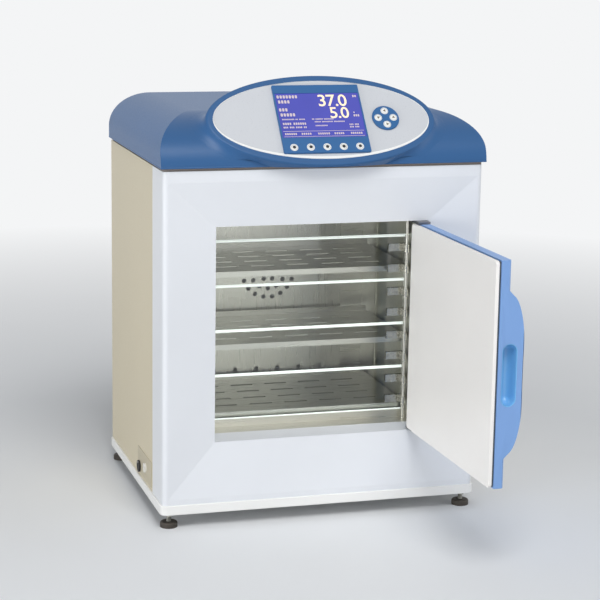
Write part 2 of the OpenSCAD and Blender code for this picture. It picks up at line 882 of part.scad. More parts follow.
module sample_port() {
    y = service_y + port_share[0] * plate_w;
    z = service_z + port_share[1] * plate_h;
    outer = -half_body - service_t;
    color("white") difference() {
        union() {
            bar_x(y, z, outer - 2 * sheet_t, outer, sample_d);
            bar_x(y, z, outer, pocket_d / 2 - half_body, sample_d / 2 - 2 * run_gap);
        }
        bar_x(y, z, outer - 2 * sheet_t - cut, pocket_d / 2 - half_body + cut, sample_d / 4);
    }
}

module thermostat_dial() {
    y = service_y + dial_share[0] * plate_w;
    z = service_z + dial_share[1] * plate_h;
    outer = -half_body - service_t - slip_gap;
    color("black") difference() {
        union() {
            bar_x(y, z, outer - dial_t, outer, thermostat_d);
            bar_x(y, z, outer, pocket_d / 2 - half_body, dial_stem_d);
        }
        translate([outer - dial_t, y, z])
            cube([dial_t, 2 * sheet_t, dial_slot_share * thermostat_d], center = true);
    }
}

// Hood: the front view's shoulders crossed with the side view's nose
module hood_form(inset) {
    half = half_body + hood_proud;
    along_y(hood_front, rear - inset) hood_front_view(half, inset);
}

module hood_front_view(half, inset) {
    spring_z = hood_top - shoulder_h;
    rect([inset - half, hood_z - (inset > 0 ? cut : 0)], [half - inset, spring_z]);
    rect([shoulder_w - half, spring_z - cut], [half - shoulder_w, hood_top - inset]);
    for (x = [shoulder_w - half, half - shoulder_w])
        translate([x, spring_z]) scale([shoulder_w - inset, shoulder_h - inset]) circle(1);
}

module hood_side_view(inset) {
    low = hood_z - (inset > 0 ? cut : 0);
    rect([hood_front + nose_d, low], [rear - inset, hood_top - inset]);
    intersection() {
        translate([hood_front + nose_d, hood_z]) scale([nose_d - inset, hood_h - inset]) circle(1);
        rect([hood_front, low], [hood_front + nose_d + cut, hood_top]);
    }
}

module hood_solid(inset) {
    intersection() {
        hood_form(inset);
        along_x(-body_w, body_w) hood_side_view(inset);
    }
}

hood_post_d = 12;
hood_post_share = [0.9, 0.24, 0.88];

module hood() {
    color("steelblue") {
        difference() {
            hood_solid(0);
            hood_solid(hood_t);
        }
        both_sides() for (s = [hood_post_share[1], hood_post_share[2]])
            translate([hood_post_share[0] * half_body, front + s * body_d, 0]) {
                translate([0, 0, body_top]) cylinder(h = hood_gap + cut, d = hood_post_d);
                intersection() {
                    translate([0, 0, hood_z]) cylinder(h = hood_h, d = hood_post_d);
                    translate([-hood_post_share[0] * half_body, -front - s * body_d, 0])
                        hood_solid(hood_t / 2);
                }
            }
    }
}

board = [190, 130, 1.6];
board_stand = 8;
board_share = [-0.2, 0.45];
board_post_share = [0.44, 0.42];
// Parts on the board: place and size as shares of the board, and height
board_part_shares = [[-0.3, 0.1, 0.24, 0.3], [0.05, 0.2, 0.2, 0.2],
    [0.3, -0.1, 0.16, 0.4], [0, -0.25, 0.2, 0.2]];
board_part_heights = [26, 14, 18, 8];

module circuit_board() {
    translate([board_share[0] * body_w, front + board_share[1] * body_d, body_top]) {
        color("darkgreen") translate([0, 0, board_stand])
            linear_extrude(board[2]) square([board[0], board[1]], center = true);
        color("silver")
            for (x = [-board_post_share[0], board_post_share[0]],
                y = [-board_post_share[1], board_post_share[1]])
                translate([x * board[0], y * board[1], 0]) cylinder(h = board_stand, d = board_stand);
        color("dimgray")
            for (i = [0 : len(board_part_heights) - 1])
                translate([board_part_shares[i][0] * board[0], board_part_shares[i][1] * board[1],
                    board_stand + board[2]])
                    linear_extrude(board_part_heights[i])
                        square([board_part_shares[i][2] * board[0], board_part_shares[i][3] * board[1]],
                            center = true);
    }
}

// Places the children on the console's face: X to the right, Y up the face, Z out of it
module on_face() {
    translate([0, face_y, face_z]) rotate([90 - console_tilt, 0, 0]) children();
}

module oval(a, b) {
    scale([a, b]) circle(1);
}

// Oval body with a rounded front edge, closing in an egg's curve behind its straight rim
module console_form(inset) {
    a = face_a + rim_w - inset;
    b = face_b + rim_w - inset;
    scale([1, b / a, 1]) rotate_extrude() {
        rect([0, -rim_straight], [a, -rim_round]);
        rect([0, -rim_straight], [a - rim_round, inset > 0 ? cut : 0]);
        translate([a - rim_round, -rim_round]) intersection() {
            circle(rim_round);
            square(rim_round);
        }
        translate([0, -rim_straight]) intersection() {
            scale([a, console_depth - inset]) circle(1);
            rect([0, -console_depth], [a, 0]);
        }
    }
}

module console_housing() {
    color("steelblue") difference() {
        on_face() difference() {
            console_form(0);
            translate([0, 0, -panel_t]) linear_extrude(panel_t + cut) oval(face_a, face_b);
            console_form(rim_w + ledge_w);
        }
        hood_solid(0);
        translate([0, 0, -cut]) hood_solid(0);
        block([-body_w, front - body_d, 0], [body_w, rear, hood_z]);
    }
}

module console_panel() {
    color("lightgray") on_face() translate([0, 0, -panel_t]) linear_extrude(panel_t) oval(face_a, face_b);
}

surround_r = 2;
window_t = 1.7;
window_pocket = 2.5;

// Middle of the window, up the face
window_y = surround_h / 2 - window_drop - window_h / 2;

module display_surround() {
    color("steelblue") on_face() translate([-surround_shift, 0, 0]) difference() {
        linear_extrude(surround_t) rounded(surround_w, surround_h, surround_r);
        translate([0, window_y, surround_t - window_pocket]) linear_extrude(window_pocket + cut)
            square([window_w, window_h], center = true);
        for (i = [1 : 5])
            translate([(i - 3) * softkey_pitch, softkey_y, -cut])
                cylinder(h = surround_t + 2 * cut, r = softkey_d / 2 + slip_gap);
    }
}

module display_window() {
    color("slateblue") on_face() translate([-surround_shift, window_y, surround_t - window_pocket])
        linear_extrude(window_t) square([window_w, window_h], center = true);
}

// Round key with an eased top edge, standing over the face by its travel and a little more
module key(d, plate) {
    ease = d / 12;
    translate([0, 0, key_floor]) cylinder(h = plate + key_stand - ease - key_floor, d = d);
    translate([0, 0, key_floor]) cylinder(h = plate + key_stand - key_floor, d = d - 2 * ease);
}

module softkey(i) {
    color("black") on_face()
        translate([(i - 3) * softkey_pitch - surround_shift, softkey_y, 0]) key(softkey_d, surround_t);
}

module softkey_1() { softkey(1); }
module softkey_2() { softkey(2); }
module softkey_3() { softkey(3); }
module softkey_4() { softkey(4); }
module softkey_5() { softkey(5); }

module arrow_pad() {
    color("steelblue") on_face() translate([dial_offset, 0, 0]) difference() {
        cylinder(h = arrow_pad_t, d = dial_d);
        for (a = [0 : 90 : 270])
            rotate([0, 0, a]) translate([arrow_ring_r, 0, -cut])
                cylinder(h = arrow_pad_t + 2 * cut, r = arrow_d / 2 + slip_gap);
    }
}

module arrow(a) {
    color("black") on_face() translate([dial_offset, 0, 0]) rotate([0, 0, a])
        translate([arrow_ring_r, 0, 0]) key(arrow_d, arrow_pad_t);
}

module arrow_right() { arrow(0); }
module arrow_up() { arrow(90); }
module arrow_left() { arrow(180); }
module arrow_down() { arrow(270); }

// Hinge plates in the opening's corners, each with the pin that the door turns on
module hinge_plates() {
    color("dimgray") translate([pivot_x, pivot_y, 0]) {
        for (z = [sill_z, head_z - hinge_plate_t])
            block([-plate_inner, -plate_front, z], [plate_heel, plate_back_l, z + hinge_plate_t]);
        translate([0, 0, sill_z]) cylinder(h = hinge_plate_t + pin_l, d = hinge_pin_d);
        translate([0, 0, head_z - hinge_plate_t - pin_l])
            cylinder(h = hinge_plate_t + pin_l, d = hinge_pin_d);
    }
}

// Stands the closed door's drawing at its pivot and swings it open
module door_place() {
    translate([pivot_x, pivot_y, 0]) rotate([0, 0, door_open]) children();
}

// Room for the hinge plates at the door's heel
module door_notches() {
    depth = hinge_plate_t - door_gap + slip_gap;
    for (z = [door_z0 - cut, door_z1 - depth])
        block([-notch_l, shell_y - cut, z], [door_heel + cut, liner_y + liner_t + cut, z + depth + cut]);
}

// Plan of a door leaf with rounded edges on its outer face
module leaf_plan(from, to, r) {
    x0 = -door_free;
    x1 = door_heel;
    rect([x0, from + r], [x1, to]);
    rect([x0 + r, from], [x1 - r, from + r]);
    translate([x0 + r, from + r]) circle(r);
    translate([x1 - r, from + r]) circle(r);
}

// Swelling on the outer face: an arc seen from the end, crossed with an arc seen from above
module grip_swelling() {
    arc_r = (grip_h * grip_h / 4 + grip_proud * grip_proud) / (2 * grip_proud);
    run = grip_l - grip_flat;
    plan_r = (run * run + grip_proud * grip_proud) / (2 * grip_proud);
    top_y = shell_y - grip_proud;
    intersection() {
        along_x(-door_free, plan_r - door_free) intersection() {
            translate([top_y + arc_r, door_mid_z]) circle(arc_r, $fn = 128);
            rect([top_y - cut, door_z0], [0, door_z1]);
        }
        translate([0, 0, door_z0 + cut]) linear_extrude(door_z1 - door_z0 - 2 * cut) {
            rect([-door_free, top_y + door_corner_r], [grip_flat - door_free, 0]);
            rect([door_corner_r - door_free, top_y], [grip_flat - door_free, 0]);
            translate([door_corner_r - door_free, top_y + door_corner_r]) circle(door_corner_r);
            intersection() {
                translate([grip_flat - door_free, top_y + plan_r]) circle(plan_r, $fn = 128);
                rect([grip_flat - door_free, top_y], [grip_flat + plan_r - door_free, 0]);
            }
        }
    }
}

core_edge = 40;
core_heel = 20;

// Foam space of the shell
module core_form(extra) {
    block([core_edge - door_free, shell_y + shell_wall, door_z0 + 2 * shell_wall],
        [door_heel - core_heel, seal_y + extra, door_z1 - 2 * shell_wall]);
}

module door_shell() {
    color("cornflowerblue") door_place() difference() {
        union() {
            translate([0, 0, door_z0]) linear_extrude(door_z1 - door_z0)
                leaf_plan(shell_y, seal_y, pivot_depth / 2);
            grip_swelling();
        }
        core_form(cut);
        along_x(-door_free - cut, recess_d - door_free) translate([recess_mid, door_mid_z])
            rounded(recess_w, recess_h, recess_w / 2 - slip_gap);
        for (z = [door_z0 - cut, door_z1 - pin_hole_l - cut])
            translate([0, 0, z]) cylinder(h = pin_hole_l + 2 * cut, r = hinge_pin_d / 2 + run_gap);
        door_notches();
    }
}

module door_core() {
    color("khaki") door_place() core_form(0);
}

module door_seal() {
    inner = seal_inset + seal_w;
    color("dimgray") door_place() difference() {
        block([seal_inset - door_free, seal_y, door_z0 + seal_inset],
            [door_heel - seal_inset, liner_y, door_z1 - seal_inset]);
        block([inner - door_free, seal_y - cut, door_z0 + inner],
            [door_heel - inner, liner_y + cut, door_z1 - inner]);
        door_notches();
    }
}

module door_liner() {
    color("white") door_place() difference() {
        translate([0, liner_y + liner_t, 0]) rotate([90, 0, 0]) linear_extrude(liner_t)
            translate([(door_heel - door_free) / 2, door_mid_z])
                rounded(door_free + door_heel - 2 * liner_inset,
                    door_z1 - door_z0 - 2 * liner_inset, liner_t);
        door_notches();
    }
}

base_tray();
foot_nuts();
foot_front_left();
foot_front_right();
foot_rear_left();
foot_rear_right();
cabinet_wrap();
rear_panel();
power_inlet();
gas_inlet();
fascia();
insulation();
chamber();
glass_frame();
transom_glass();
rack_left();
rack_right();
shelf_low();
shelf_middle();
shelf_top();
humidity_pan();
air_duct();
heater();
fan_motor();
fan_wheel();
climate_probes();
service_plate();
sample_port();
thermostat_dial();
hood();
circuit_board();
console_housing();
console_panel();
display_surround();
display_window();
arrow_pad();
softkey_1();
softkey_2();
softkey_3();
softkey_4();
softkey_5();
arrow_up();
arrow_right();
arrow_down();
arrow_left();
hinge_plates();
door_shell();
door_core();
door_seal();
door_liner();
pane_1();
pane_2();
pane_3();
pane_4();
pane_fittings_1();
pane_fittings_2();
pane_fittings_3();
pane_fittings_4();
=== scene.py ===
"""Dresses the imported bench-top carbon dioxide incubator.

Each CAD part gets a finish, and the fine trim that the CAD leaves out is added.
"""

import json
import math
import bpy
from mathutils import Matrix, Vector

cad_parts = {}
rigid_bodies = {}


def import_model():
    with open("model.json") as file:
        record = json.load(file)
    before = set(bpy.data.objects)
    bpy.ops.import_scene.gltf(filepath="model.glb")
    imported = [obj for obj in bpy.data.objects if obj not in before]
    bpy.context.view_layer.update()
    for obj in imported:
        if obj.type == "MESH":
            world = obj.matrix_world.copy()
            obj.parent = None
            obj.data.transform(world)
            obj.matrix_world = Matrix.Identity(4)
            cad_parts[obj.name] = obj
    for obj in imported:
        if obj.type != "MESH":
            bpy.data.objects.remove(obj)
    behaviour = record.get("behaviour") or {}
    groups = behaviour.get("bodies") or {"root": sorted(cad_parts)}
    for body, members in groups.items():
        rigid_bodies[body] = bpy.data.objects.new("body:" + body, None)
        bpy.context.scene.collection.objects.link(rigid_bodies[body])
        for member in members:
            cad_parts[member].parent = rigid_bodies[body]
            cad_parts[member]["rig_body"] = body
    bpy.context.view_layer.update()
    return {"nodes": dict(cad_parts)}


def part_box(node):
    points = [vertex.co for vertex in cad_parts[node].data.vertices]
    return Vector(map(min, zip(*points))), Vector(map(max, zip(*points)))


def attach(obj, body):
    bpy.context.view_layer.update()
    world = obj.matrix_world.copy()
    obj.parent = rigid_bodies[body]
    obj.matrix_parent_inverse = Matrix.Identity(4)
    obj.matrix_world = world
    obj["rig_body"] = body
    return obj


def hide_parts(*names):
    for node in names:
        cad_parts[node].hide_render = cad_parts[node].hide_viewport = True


bl_info = {
    "name": "Incubator dressing",
    "version": (1, 0, 0),
    "blender": (4, 5, 0),
    "location": "View3D > Sidebar > Incubator",
    "description": "Finishes, fine trim and a studio for a bench-top incubator",
    "category": "Object",
}

import bmesh
import bpy
from bpy.props import FloatProperty, FloatVectorProperty, IntProperty, PointerProperty
from mathutils import Matrix, Vector
from mathutils.bvhtree import BVHTree

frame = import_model()
NODES = frame["nodes"]
MM = 0.001
SOFTKEYS = ["softkey_%d" % i for i in range(1, 6)]
ARROWS = ["arrow_up", "arrow_right", "arrow_down", "arrow_left"]
FEET = ["foot_front_left", "foot_front_right", "foot_rear_left", "foot_rear_right"]

# The console's face: its middle, how far it leans back, and the oval's half sizes
FACE_MIDDLE = Vector((0, -199.8, 714)) * MM
FACE_TILT = math.radians(50)
FACE_HALF = (196 * MM, 81 * MM)
ON_FACE = Matrix.Translation(FACE_MIDDLE) @ Matrix.Rotation(FACE_TILT, 4, "X")
# The closed door's drawing, turned to where the door stands at rest
DOOR_OPEN = math.radians(91)
ON_DOOR = Matrix.Translation(Vector((181, -228.5, 0)) * MM) @ Matrix.Rotation(DOOR_OPEN, 4, "Z")
DOOR_FREE = -371 * MM
DOOR_FACE = -7 * MM
GRIP_MIDDLE = 342 * MM
# The grip's swelling in the CAD: half its height up the door, how far its crown stands out, and how far its level part
# and the whole of it reach in from the door's edge
GRIP_HALF, GRIP_CROWN, GRIP_LEVEL, GRIP_REACH = 133 * MM, 24 * MM, 26 * MM, 96 * MM
# How far the crown stands out as drawn, and how full its ends are: lower is fuller
GRIP_FULL_CROWN = 30 * MM
GRIP_FULLNESS = 0.42
# Keys of the console, in millimetres: pitch of the row, and middle and radius of the arrow keys' circle
SOFTKEY_PITCH = 29.7
ARROWS_MIDDLE, ARROWS_RADIUS = 115.3, 14
# Heights over the console's face, in millimetres: surround, its keys, arrow pad, its keys, and the display's window
SURROUND_TOP, SOFTKEY_TOP, PAD_TOP, ARROW_TOP, WINDOW_TOP = 4.0, 5.15, 3.0, 4.15, 3.2
# Soft lights: name, setting that gives the power, share of it, diameter and place
LIGHTS = (
    ("softbox_key", "key_power", 1.0, 3.2, (-0.4, -3.7, 5.1)),
    ("panel_left", "fill_power", 2.8, 1.8, (-3.0, -1.4, 0.3)),
    ("panel_right", "fill_power", 0.9, 2.0, (2.9, -1.8, 1.2)),
    ("panel_low", "fill_power", 0.25, 1.6, (0.2, -2.7, 0.1)),
)


def linear(code):
    """An sRGB hex colour as linear red, green and blue."""
    parts = [int(code[i : i + 2], 16) / 255 for i in (1, 3, 5)]
    return tuple(c / 12.92 if c <= 0.04045 else ((c + 0.055) / 1.055) ** 2.4 for c in parts)


def swatch(title, text, code):
    """A colour that the user can change, given as sRGB hex."""
    return FloatVectorProperty(
        name=title, description=text, size=3, subtype="COLOR", min=0, max=1, default=linear(code)
    )


class IncubatorColours(bpy.types.PropertyGroup):
    """Colours of the incubator's painted and moulded parts."""

    hood: swatch("Hood", "Moulded hood and console body", "#2f5c8d")
    door: swatch("Door", "Moulded shell of the outer door", "#7ca4dc")
    cabinet: swatch("Cabinet", "Powder coat of the side walls, roof and rear panel", "#d3c9af")
    fascia: swatch("Fascia", "Moulded front of the cabinet", "#e2e5ea")
    tray: swatch("Base tray", "Powder coat of the base tray", "#eeeeec")
    liner: swatch("Door liner", "Inner face of the outer door", "#f8f5f1")
    trim: swatch("Console trim", "Raised display surround and arrow pad", "#005791")
    screen: swatch("Screen", "Lit display behind its window", "#3f43aa")
    figures: swatch("Figures", "Figures and bars of the display", "#f6e3c2")
    panel: swatch("Console panel", "Oval face of the console", "#cacdd2")


class IncubatorSizes(bpy.types.PropertyGroup):
    """Sizes of the trim that is added to the CAD parts."""

    edge: FloatProperty(
        name="Eased edge",
        description="Rounding of a moulded or folded edge",
        default=1.2 * MM,
        min=0.2 * MM,
        max=3 * MM,
        unit="LENGTH",
    )
    fairing: FloatProperty(
        name="Fairing grid",
        description="Mesh size of the hollow between hood and console",
        default=2.6 * MM,
        min=2 * MM,
        max=6 * MM,
        unit="LENGTH",
    )
    fairing_passes: IntProperty(
        name="Fairing passes", description="How often the hollow is smoothed", default=93, min=4, max=200
    )
    ring: FloatProperty(
        name="Key ring",
        description="Outer diameter of the white ring round a key under the display",
        default=14 * MM,
        min=12 * MM,
        max=18 * MM,
        unit="LENGTH",
    )
    rivet: FloatProperty(
        name="Rivet head",
        description="Diameter of a panel rivet's head",
        default=7 * MM,
        min=5 * MM,
        max=10 * MM,
        unit="LENGTH",
    )


class IncubatorStudio(bpy.types.PropertyGroup):
    """Camera and light of the studio."""

    lens: FloatProperty(
        name="Focal length", description="Focal length of the camera, in millimetres", default=112.42, min=20, max=300
    )
    yaw: FloatProperty(
        name="Yaw", description="Turn of the camera about the upright", default=math.radians(16.63), subtype="ANGLE"
    )
    pitch: FloatProperty(
        name="Pitch", description="How far the camera looks down", default=math.radians(11.694), subtype="ANGLE"
    )
    roll: FloatProperty(
        name="Roll", description="Turn about the line of sight", default=math.radians(0.932), subtype="ANGLE"
    )
    place: FloatVectorProperty(
        name="Camera place",
        description="Where the camera stands",
        default=(-0.96367, -3.30717, 1.06635),
        subtype="TRANSLATION",
    )
    key_power: FloatProperty(
        name="Key light", description="Power of the large softbox", default=185, min=0, unit="POWER"
    )
    fill_power: FloatProperty(
        name="Fill light", description="Power that the fill panels share out", default=18, min=0, unit="POWER"
    )
    sky: FloatProperty(
        name="Room light", description="Strength of the even light from all round", default=0.32, min=0
    )


# Materials


def add(tree, kind, inputs=None, **settings):
    """Adds a node. A value in inputs is set on the socket, and another node's output is linked to it."""
    node = tree.nodes.new(kind)
    for name, value in settings.items():
        setattr(node, name, value)
    for key, value in (inputs or {}).items():
        if isinstance(value, bpy.types.NodeSocket):
            tree.links.new(value, node.inputs[key])
        else:
            node.inputs[key].default_value = value
    return node


def begin(name):
    """An empty material with its node tree and the object's own coordinates."""
    made = bpy.data.materials.get(name) or bpy.data.materials.new(name)
    made.use_nodes = True
    made.node_tree.nodes.clear()
    return made, made.node_tree, add(made.node_tree, "ShaderNodeTexCoord").outputs["Object"]


def end(tree, surface):
    """Gives the material its surface."""
    add(tree, "ShaderNodeOutputMaterial", {"Surface": surface.outputs[0]})


def shaded(tint, factor):
    """A tint made darker or lighter by a factor."""
    return (*(min(1.0, c * factor) for c in tint), 1)


def noise(tree, place, size, detail=2.0, stretch=(1, 1, 1)):
    """Noise whose features are about size metres across, drawn out along an axis by a stretch below one."""
    turned = add(tree, "ShaderNodeMapping", {"Vector": place, "Scale": stretch})
    return add(
        tree,
        "ShaderNodeTexNoise",
        {"Vector": turned.outputs[0], "Scale": 1 / size, "Detail": detail, "Roughness": 0.55},
    ).outputs["Fac"]


def between(tree, value, low, high, from_low=0.3, from_high=0.7):
    """Spreads a value between two others."""
    return add(
        tree,
        "ShaderNodeMapRange",
        {"Value": value, "From Min": from_low, "From Max": from_high, "To Min": low, "To Max": high},
    ).outputs[0]


def blended(tree, factor, low, high):
    """Mixes two colours."""
    return add(tree, "ShaderNodeMix", {0: factor, 6: low, 7: high}, data_type="RGBA").outputs[2]


def raised(tree, height, depth):
    """Turns a height into a bump that is depth metres deep."""
    return add(tree, "ShaderNodeBump", {"Height": height, "Strength": 1.0, "Distance": depth}).outputs[0]


def moulded_abs(name, tint, roughness=0.34, coat=0.1, gloss=0.5):
    # Injection-moulded ABS: an even, slightly soft gloss, and a faint ripple from the tool.
    # The tool's grain is 0.2 mm wide; it is drawn 2.5 mm wide so that it shows.
    # A matt tool takes some of the gloss away.
    made, tree, place = begin(name)
    cloud = noise(tree, place, 140 * MM, 3)
    grain = noise(tree, place, 2.5 * MM, 1)
    skin = add(
        tree,
        "ShaderNodeBsdfPrincipled",
        {
            "Base Color": blended(tree, cloud, shaded(tint, 0.97), shaded(tint, 1.03)),
            "Roughness": between(tree, grain, roughness - 0.03, roughness + 0.03),
            "Normal": raised(tree, grain, 0.003 * MM),
            "IOR": 1.53,
            "Specular IOR Level": gloss,
            "Coat Weight": coat,
            "Coat Roughness": 0.3,
        },
    )
    end(tree, skin)
    return made


def powder_coat(name, tint):
    # Polyester powder coat baked on folded steel: a fine orange peel that softens its highlights.
    # The peel is about 1.5 mm wide; it is drawn 3 mm wide so that it shows.
    made, tree, place = begin(name)
    peel = noise(tree, place, 3 * MM, 2)
    cloud = noise(tree, place, 260 * MM, 2)
    skin = add(
        tree,
        "ShaderNodeBsdfPrincipled",
        {
            "Base Color": blended(tree, cloud, shaded(tint, 0.965), shaded(tint, 1.035)),
            "Roughness": between(tree, peel, 0.4, 0.5),
            "Normal": raised(tree, peel, 0.012 * MM),
            "IOR": 1.5,
        },
    )
    end(tree, skin)
    return made


def brushed_stainless(name, along=(0.02, 1, 1), tint="#d0cfc6", roughness=0.3):
    # Stainless steel sheet with a brushed finish: hair lines along one axis pull its reflections across them.
    # The lines are 0.1 mm apart; they are drawn 1.6 mm apart so that they show.
    made, tree, place = begin(name)
    hair = noise(tree, place, 1.6 * MM, 3, along)
    smear = noise(tree, place, 90 * MM, 3)
    skin = add(
        tree,
        "ShaderNodeBsdfPrincipled",
        {
            "Base Color": blended(tree, smear, shaded(linear(tint), 0.95), shaded(linear(tint), 1.05)),
            "Metallic": 1.0,
            "Roughness": between(tree, hair, roughness - 0.04, roughness + 0.05),
            "Normal": raised(tree, hair, 0.003 * MM),
        },
    )
    end(tree, skin)
    return made


def float_glass(name):
    # Toughened float glass, 5 mm: clear with a breath of green. Its ground edges and the 2 mm arris
    # along them are frosted white, with a painted glow that stands in for the light they scatter.
    made, tree, place = begin(name)
    smear = noise(tree, place, 70 * MM, 4)
    lower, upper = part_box("pane_1"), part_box("pane_2")
    pitch = upper[0].z - lower[0].z
    seam = (lower[1].z + upper[0].z) / 2
    height = add(tree, "ShaderNodeSeparateXYZ", {"Vector": place}).outputs["Z"]
    level = add(tree, "ShaderNodeMath", {0: height, 1: seam}, operation="SUBTRACT").outputs[0]
    to_seam = add(tree, "ShaderNodeMath", {0: level, 1: pitch / 2}, operation="PINGPONG").outputs[0]
    edge = add(tree, "ShaderNodeMath", {0: to_seam, 1: 2.2 * MM}, operation="LESS_THAN")
    clear = add(
        tree,
        "ShaderNodeBsdfPrincipled",
        {
            "Base Color": (*linear("#fafcfb"), 1),
            "Roughness": between(tree, smear, 0.0, 0.02, 0.45, 0.75),
            "IOR": 1.5,
            "Transmission Weight": 1.0,
        },
    )
    open_air = add(tree, "ShaderNodeBsdfTransparent", {"Color": (*linear("#fafcfb"), 1)})
    shadow = add(tree, "ShaderNodeLightPath").outputs["Is Shadow Ray"]
    sheet = add(tree, "ShaderNodeMixShader", {0: shadow, 1: clear.outputs[0], 2: open_air.outputs[0]})
    # Frosted edge with a painted glow: its emission stands in for the light scattered in the edge
    ground_edge_and_glow = add(
        tree,
        "ShaderNodeBsdfPrincipled",
        {
            "Base Color": (*linear("#e8efea"), 1),
            "Roughness": 0.5,
            "Emission Color": (*linear("#eef4f0"), 1),
            "Emission Strength": 0.45,
        },
    )
    end(tree, add(tree, "ShaderNodeMixShader", {0: edge.outputs[0], 1: sheet.outputs[0], 2: ground_edge_and_glow.outputs[0]}))
    return made


def moulded_rubber(name, tint):
    # EPDM rubber, and dull black nylon or acrylic: deep, with a dusty bloom in patches.
    made, tree, place = begin(name)
    bloom = noise(tree, place, 12 * MM, 4)
    skin = add(
        tree,
        "ShaderNodeBsdfPrincipled",
        {
            "Base Color": blended(tree, bloom, shaded(tint, 0.8), shaded(tint, 1.25)),
            "Roughness": between(tree, bloom, 0.55, 0.72),
            "Normal": raised(tree, noise(tree, place, 2.5 * MM, 3), 0.04 * MM),
            "IOR": 1.52,
        },
    )
    end(tree, skin)
    return made


def foot_finish(name):
    # A levelling foot: rubber pad under a zinc-plated stud, told apart by their height.
    made, tree, place = begin(name)
    height = add(tree, "ShaderNodeSeparateXYZ", {"Vector": place}).outputs["Z"]
    # The pad ends 10 mm up
    stud = add(tree, "ShaderNodeMath", {0: height, 1: 10.02 * MM}, operation="GREATER_THAN").outputs[0]
    # An M8 thread rises 1.25 mm a turn
    turns = add(tree, "ShaderNodeMath", {0: height, 1: 2 * math.pi / (1.25 * MM)}, operation="MULTIPLY").outputs[0]
    thread = add(tree, "ShaderNodeMath", {0: turns}, operation="SINE").outputs[0]
    bloom = noise(tree, place, 9 * MM, 4)
    rubber = add(
        tree,
        "ShaderNodeBsdfPrincipled",
        {
            "Base Color": blended(tree, bloom, (*linear("#2e2a25"), 1), (*linear("#463f37"), 1)),
            "Roughness": 0.6,
            "Normal": raised(tree, noise(tree, place, 2 * MM, 3), 0.05 * MM),
        },
    )
    zinc = add(
        tree,
        "ShaderNodeBsdfPrincipled",
        {
            "Base Color": blended(tree, bloom, (*linear("#a9a89f"), 1), (*linear("#c9c8c0"), 1)),
            "Metallic": 1.0,
            "Roughness": 0.3,
            "Normal": raised(tree, thread, 0.25 * MM),
        },
    )
    end(tree, add(tree, "ShaderNodeMixShader", {0: stud, 1: rubber.outputs[0], 2: zinc.outputs[0]}))
    return made


def lit_screen(name, tint):
    # Backlit liquid crystal behind a hard-coated acrylic window: an even glow with a fine grid of cells.
    # A cell is 0.3 mm; it is drawn 1.2 mm wide so that it shows.
    made, tree, place = begin(name)
    glow = noise(tree, place, 60 * MM, 1)
    cells = add(tree, "ShaderNodeTexVoronoi", {"Vector": place, "Scale": 1 / (1.2 * MM)}).outputs["Distance"]
    lit = blended(tree, glow, shaded(tint, 0.92), shaded(tint, 1.1))
    skin = add(
        tree,
        "ShaderNodeBsdfPrincipled",
        {
            "Base Color": lit,
            "Roughness": 0.12,
            "IOR": 1.49,
            "Emission Color": lit,
            "Emission Strength": 0.16,
            "Normal": raised(tree, cells, 0.004 * MM),
            "Coat Weight": 0.4,
            "Coat Roughness": 0.05,
        },
    )
    end(tree, skin)
    return made


def lit_figure(name, tint):
    # Lit cells of the display, and small printed or painted marks: a flat colour that is a little uneven. The glow is
    # the display's backlight in its cells, and a painted glow on the printed and painted marks.
    made, tree, place = begin(name)
    lit = blended(tree, noise(tree, place, 8 * MM, 2), shaded(tint, 0.93), shaded(tint, 1.0))
    skin = add(
        tree,
        "ShaderNodeBsdfPrincipled",
        {"Base Color": lit, "Roughness": 0.3, "Emission Color": lit, "Emission Strength": 0.3},
    )
    end(tree, skin)
    return made


def cast_metal(name, tint, roughness=0.35, size=3 * MM):
    # Cast, turned or plated metal: bright, with a slightly uneven skin.
    made, tree, place = begin(name)
    plating = noise(tree, place, size, 4)
    skin = add(
        tree,
        "ShaderNodeBsdfPrincipled",
        {
            "Base Color": blended(tree, plating, shaded(tint, 0.85), shaded(tint, 1.1)),
            "Metallic": 1.0,
            "Roughness": between(tree, plating, roughness - 0.08, roughness + 0.1),
            "Normal": raised(tree, plating, 0.02 * MM),
        },
    )
    end(tree, skin)
    return made


def foam(name, tint):
    # Closed-cell polyurethane foam: small blisters 4 mm across, dull and warm.
    made, tree, place = begin(name)
    cell = add(tree, "ShaderNodeTexVoronoi", {"Vector": place, "Scale": 1 / (4 * MM)}).outputs["Distance"]
    skin = add(
        tree,
        "ShaderNodeBsdfPrincipled",
        {
            "Base Color": blended(tree, cell, shaded(tint, 0.8), shaded(tint, 1.1)),
            "Roughness": 0.85,
            "Normal": raised(tree, cell, 0.5 * MM),
        },
    )
    end(tree, skin)
    return made


def circuit_laminate(name):
    # Glass-epoxy board under green solder mask: paler where copper tracks run beneath.
    made, tree, place = begin(name)
    tracks = add(
        tree,
        "ShaderNodeTexBrick",
        {
            "Vector": place,
            "Scale": 60.0,
            "Mortar Size": 0.05,
            "Color1": (*linear("#1f5a36"), 1),
            "Color2": (*linear("#24663c"), 1),
            "Mortar": (*linear("#3a8453"), 1),
        },
    )
    skin = add(
        tree,
        "ShaderNodeBsdfPrincipled",
        {
            "Base Color": tracks.outputs["Color"],
            "Roughness": 0.35,
            "Normal": raised(tree, tracks.outputs["Fac"], 0.05 * MM),
        },
    )
    end(tree, skin)
    return made


# Meshes


def dress(made, *nodes):
    """Gives CAD nodes a material."""
    for name in nodes:
        mesh = NODES[name].data
        if mesh.materials:
            for i in range(len(mesh.materials)):
                mesh.materials[i] = made
        else:
            mesh.materials.append(made)


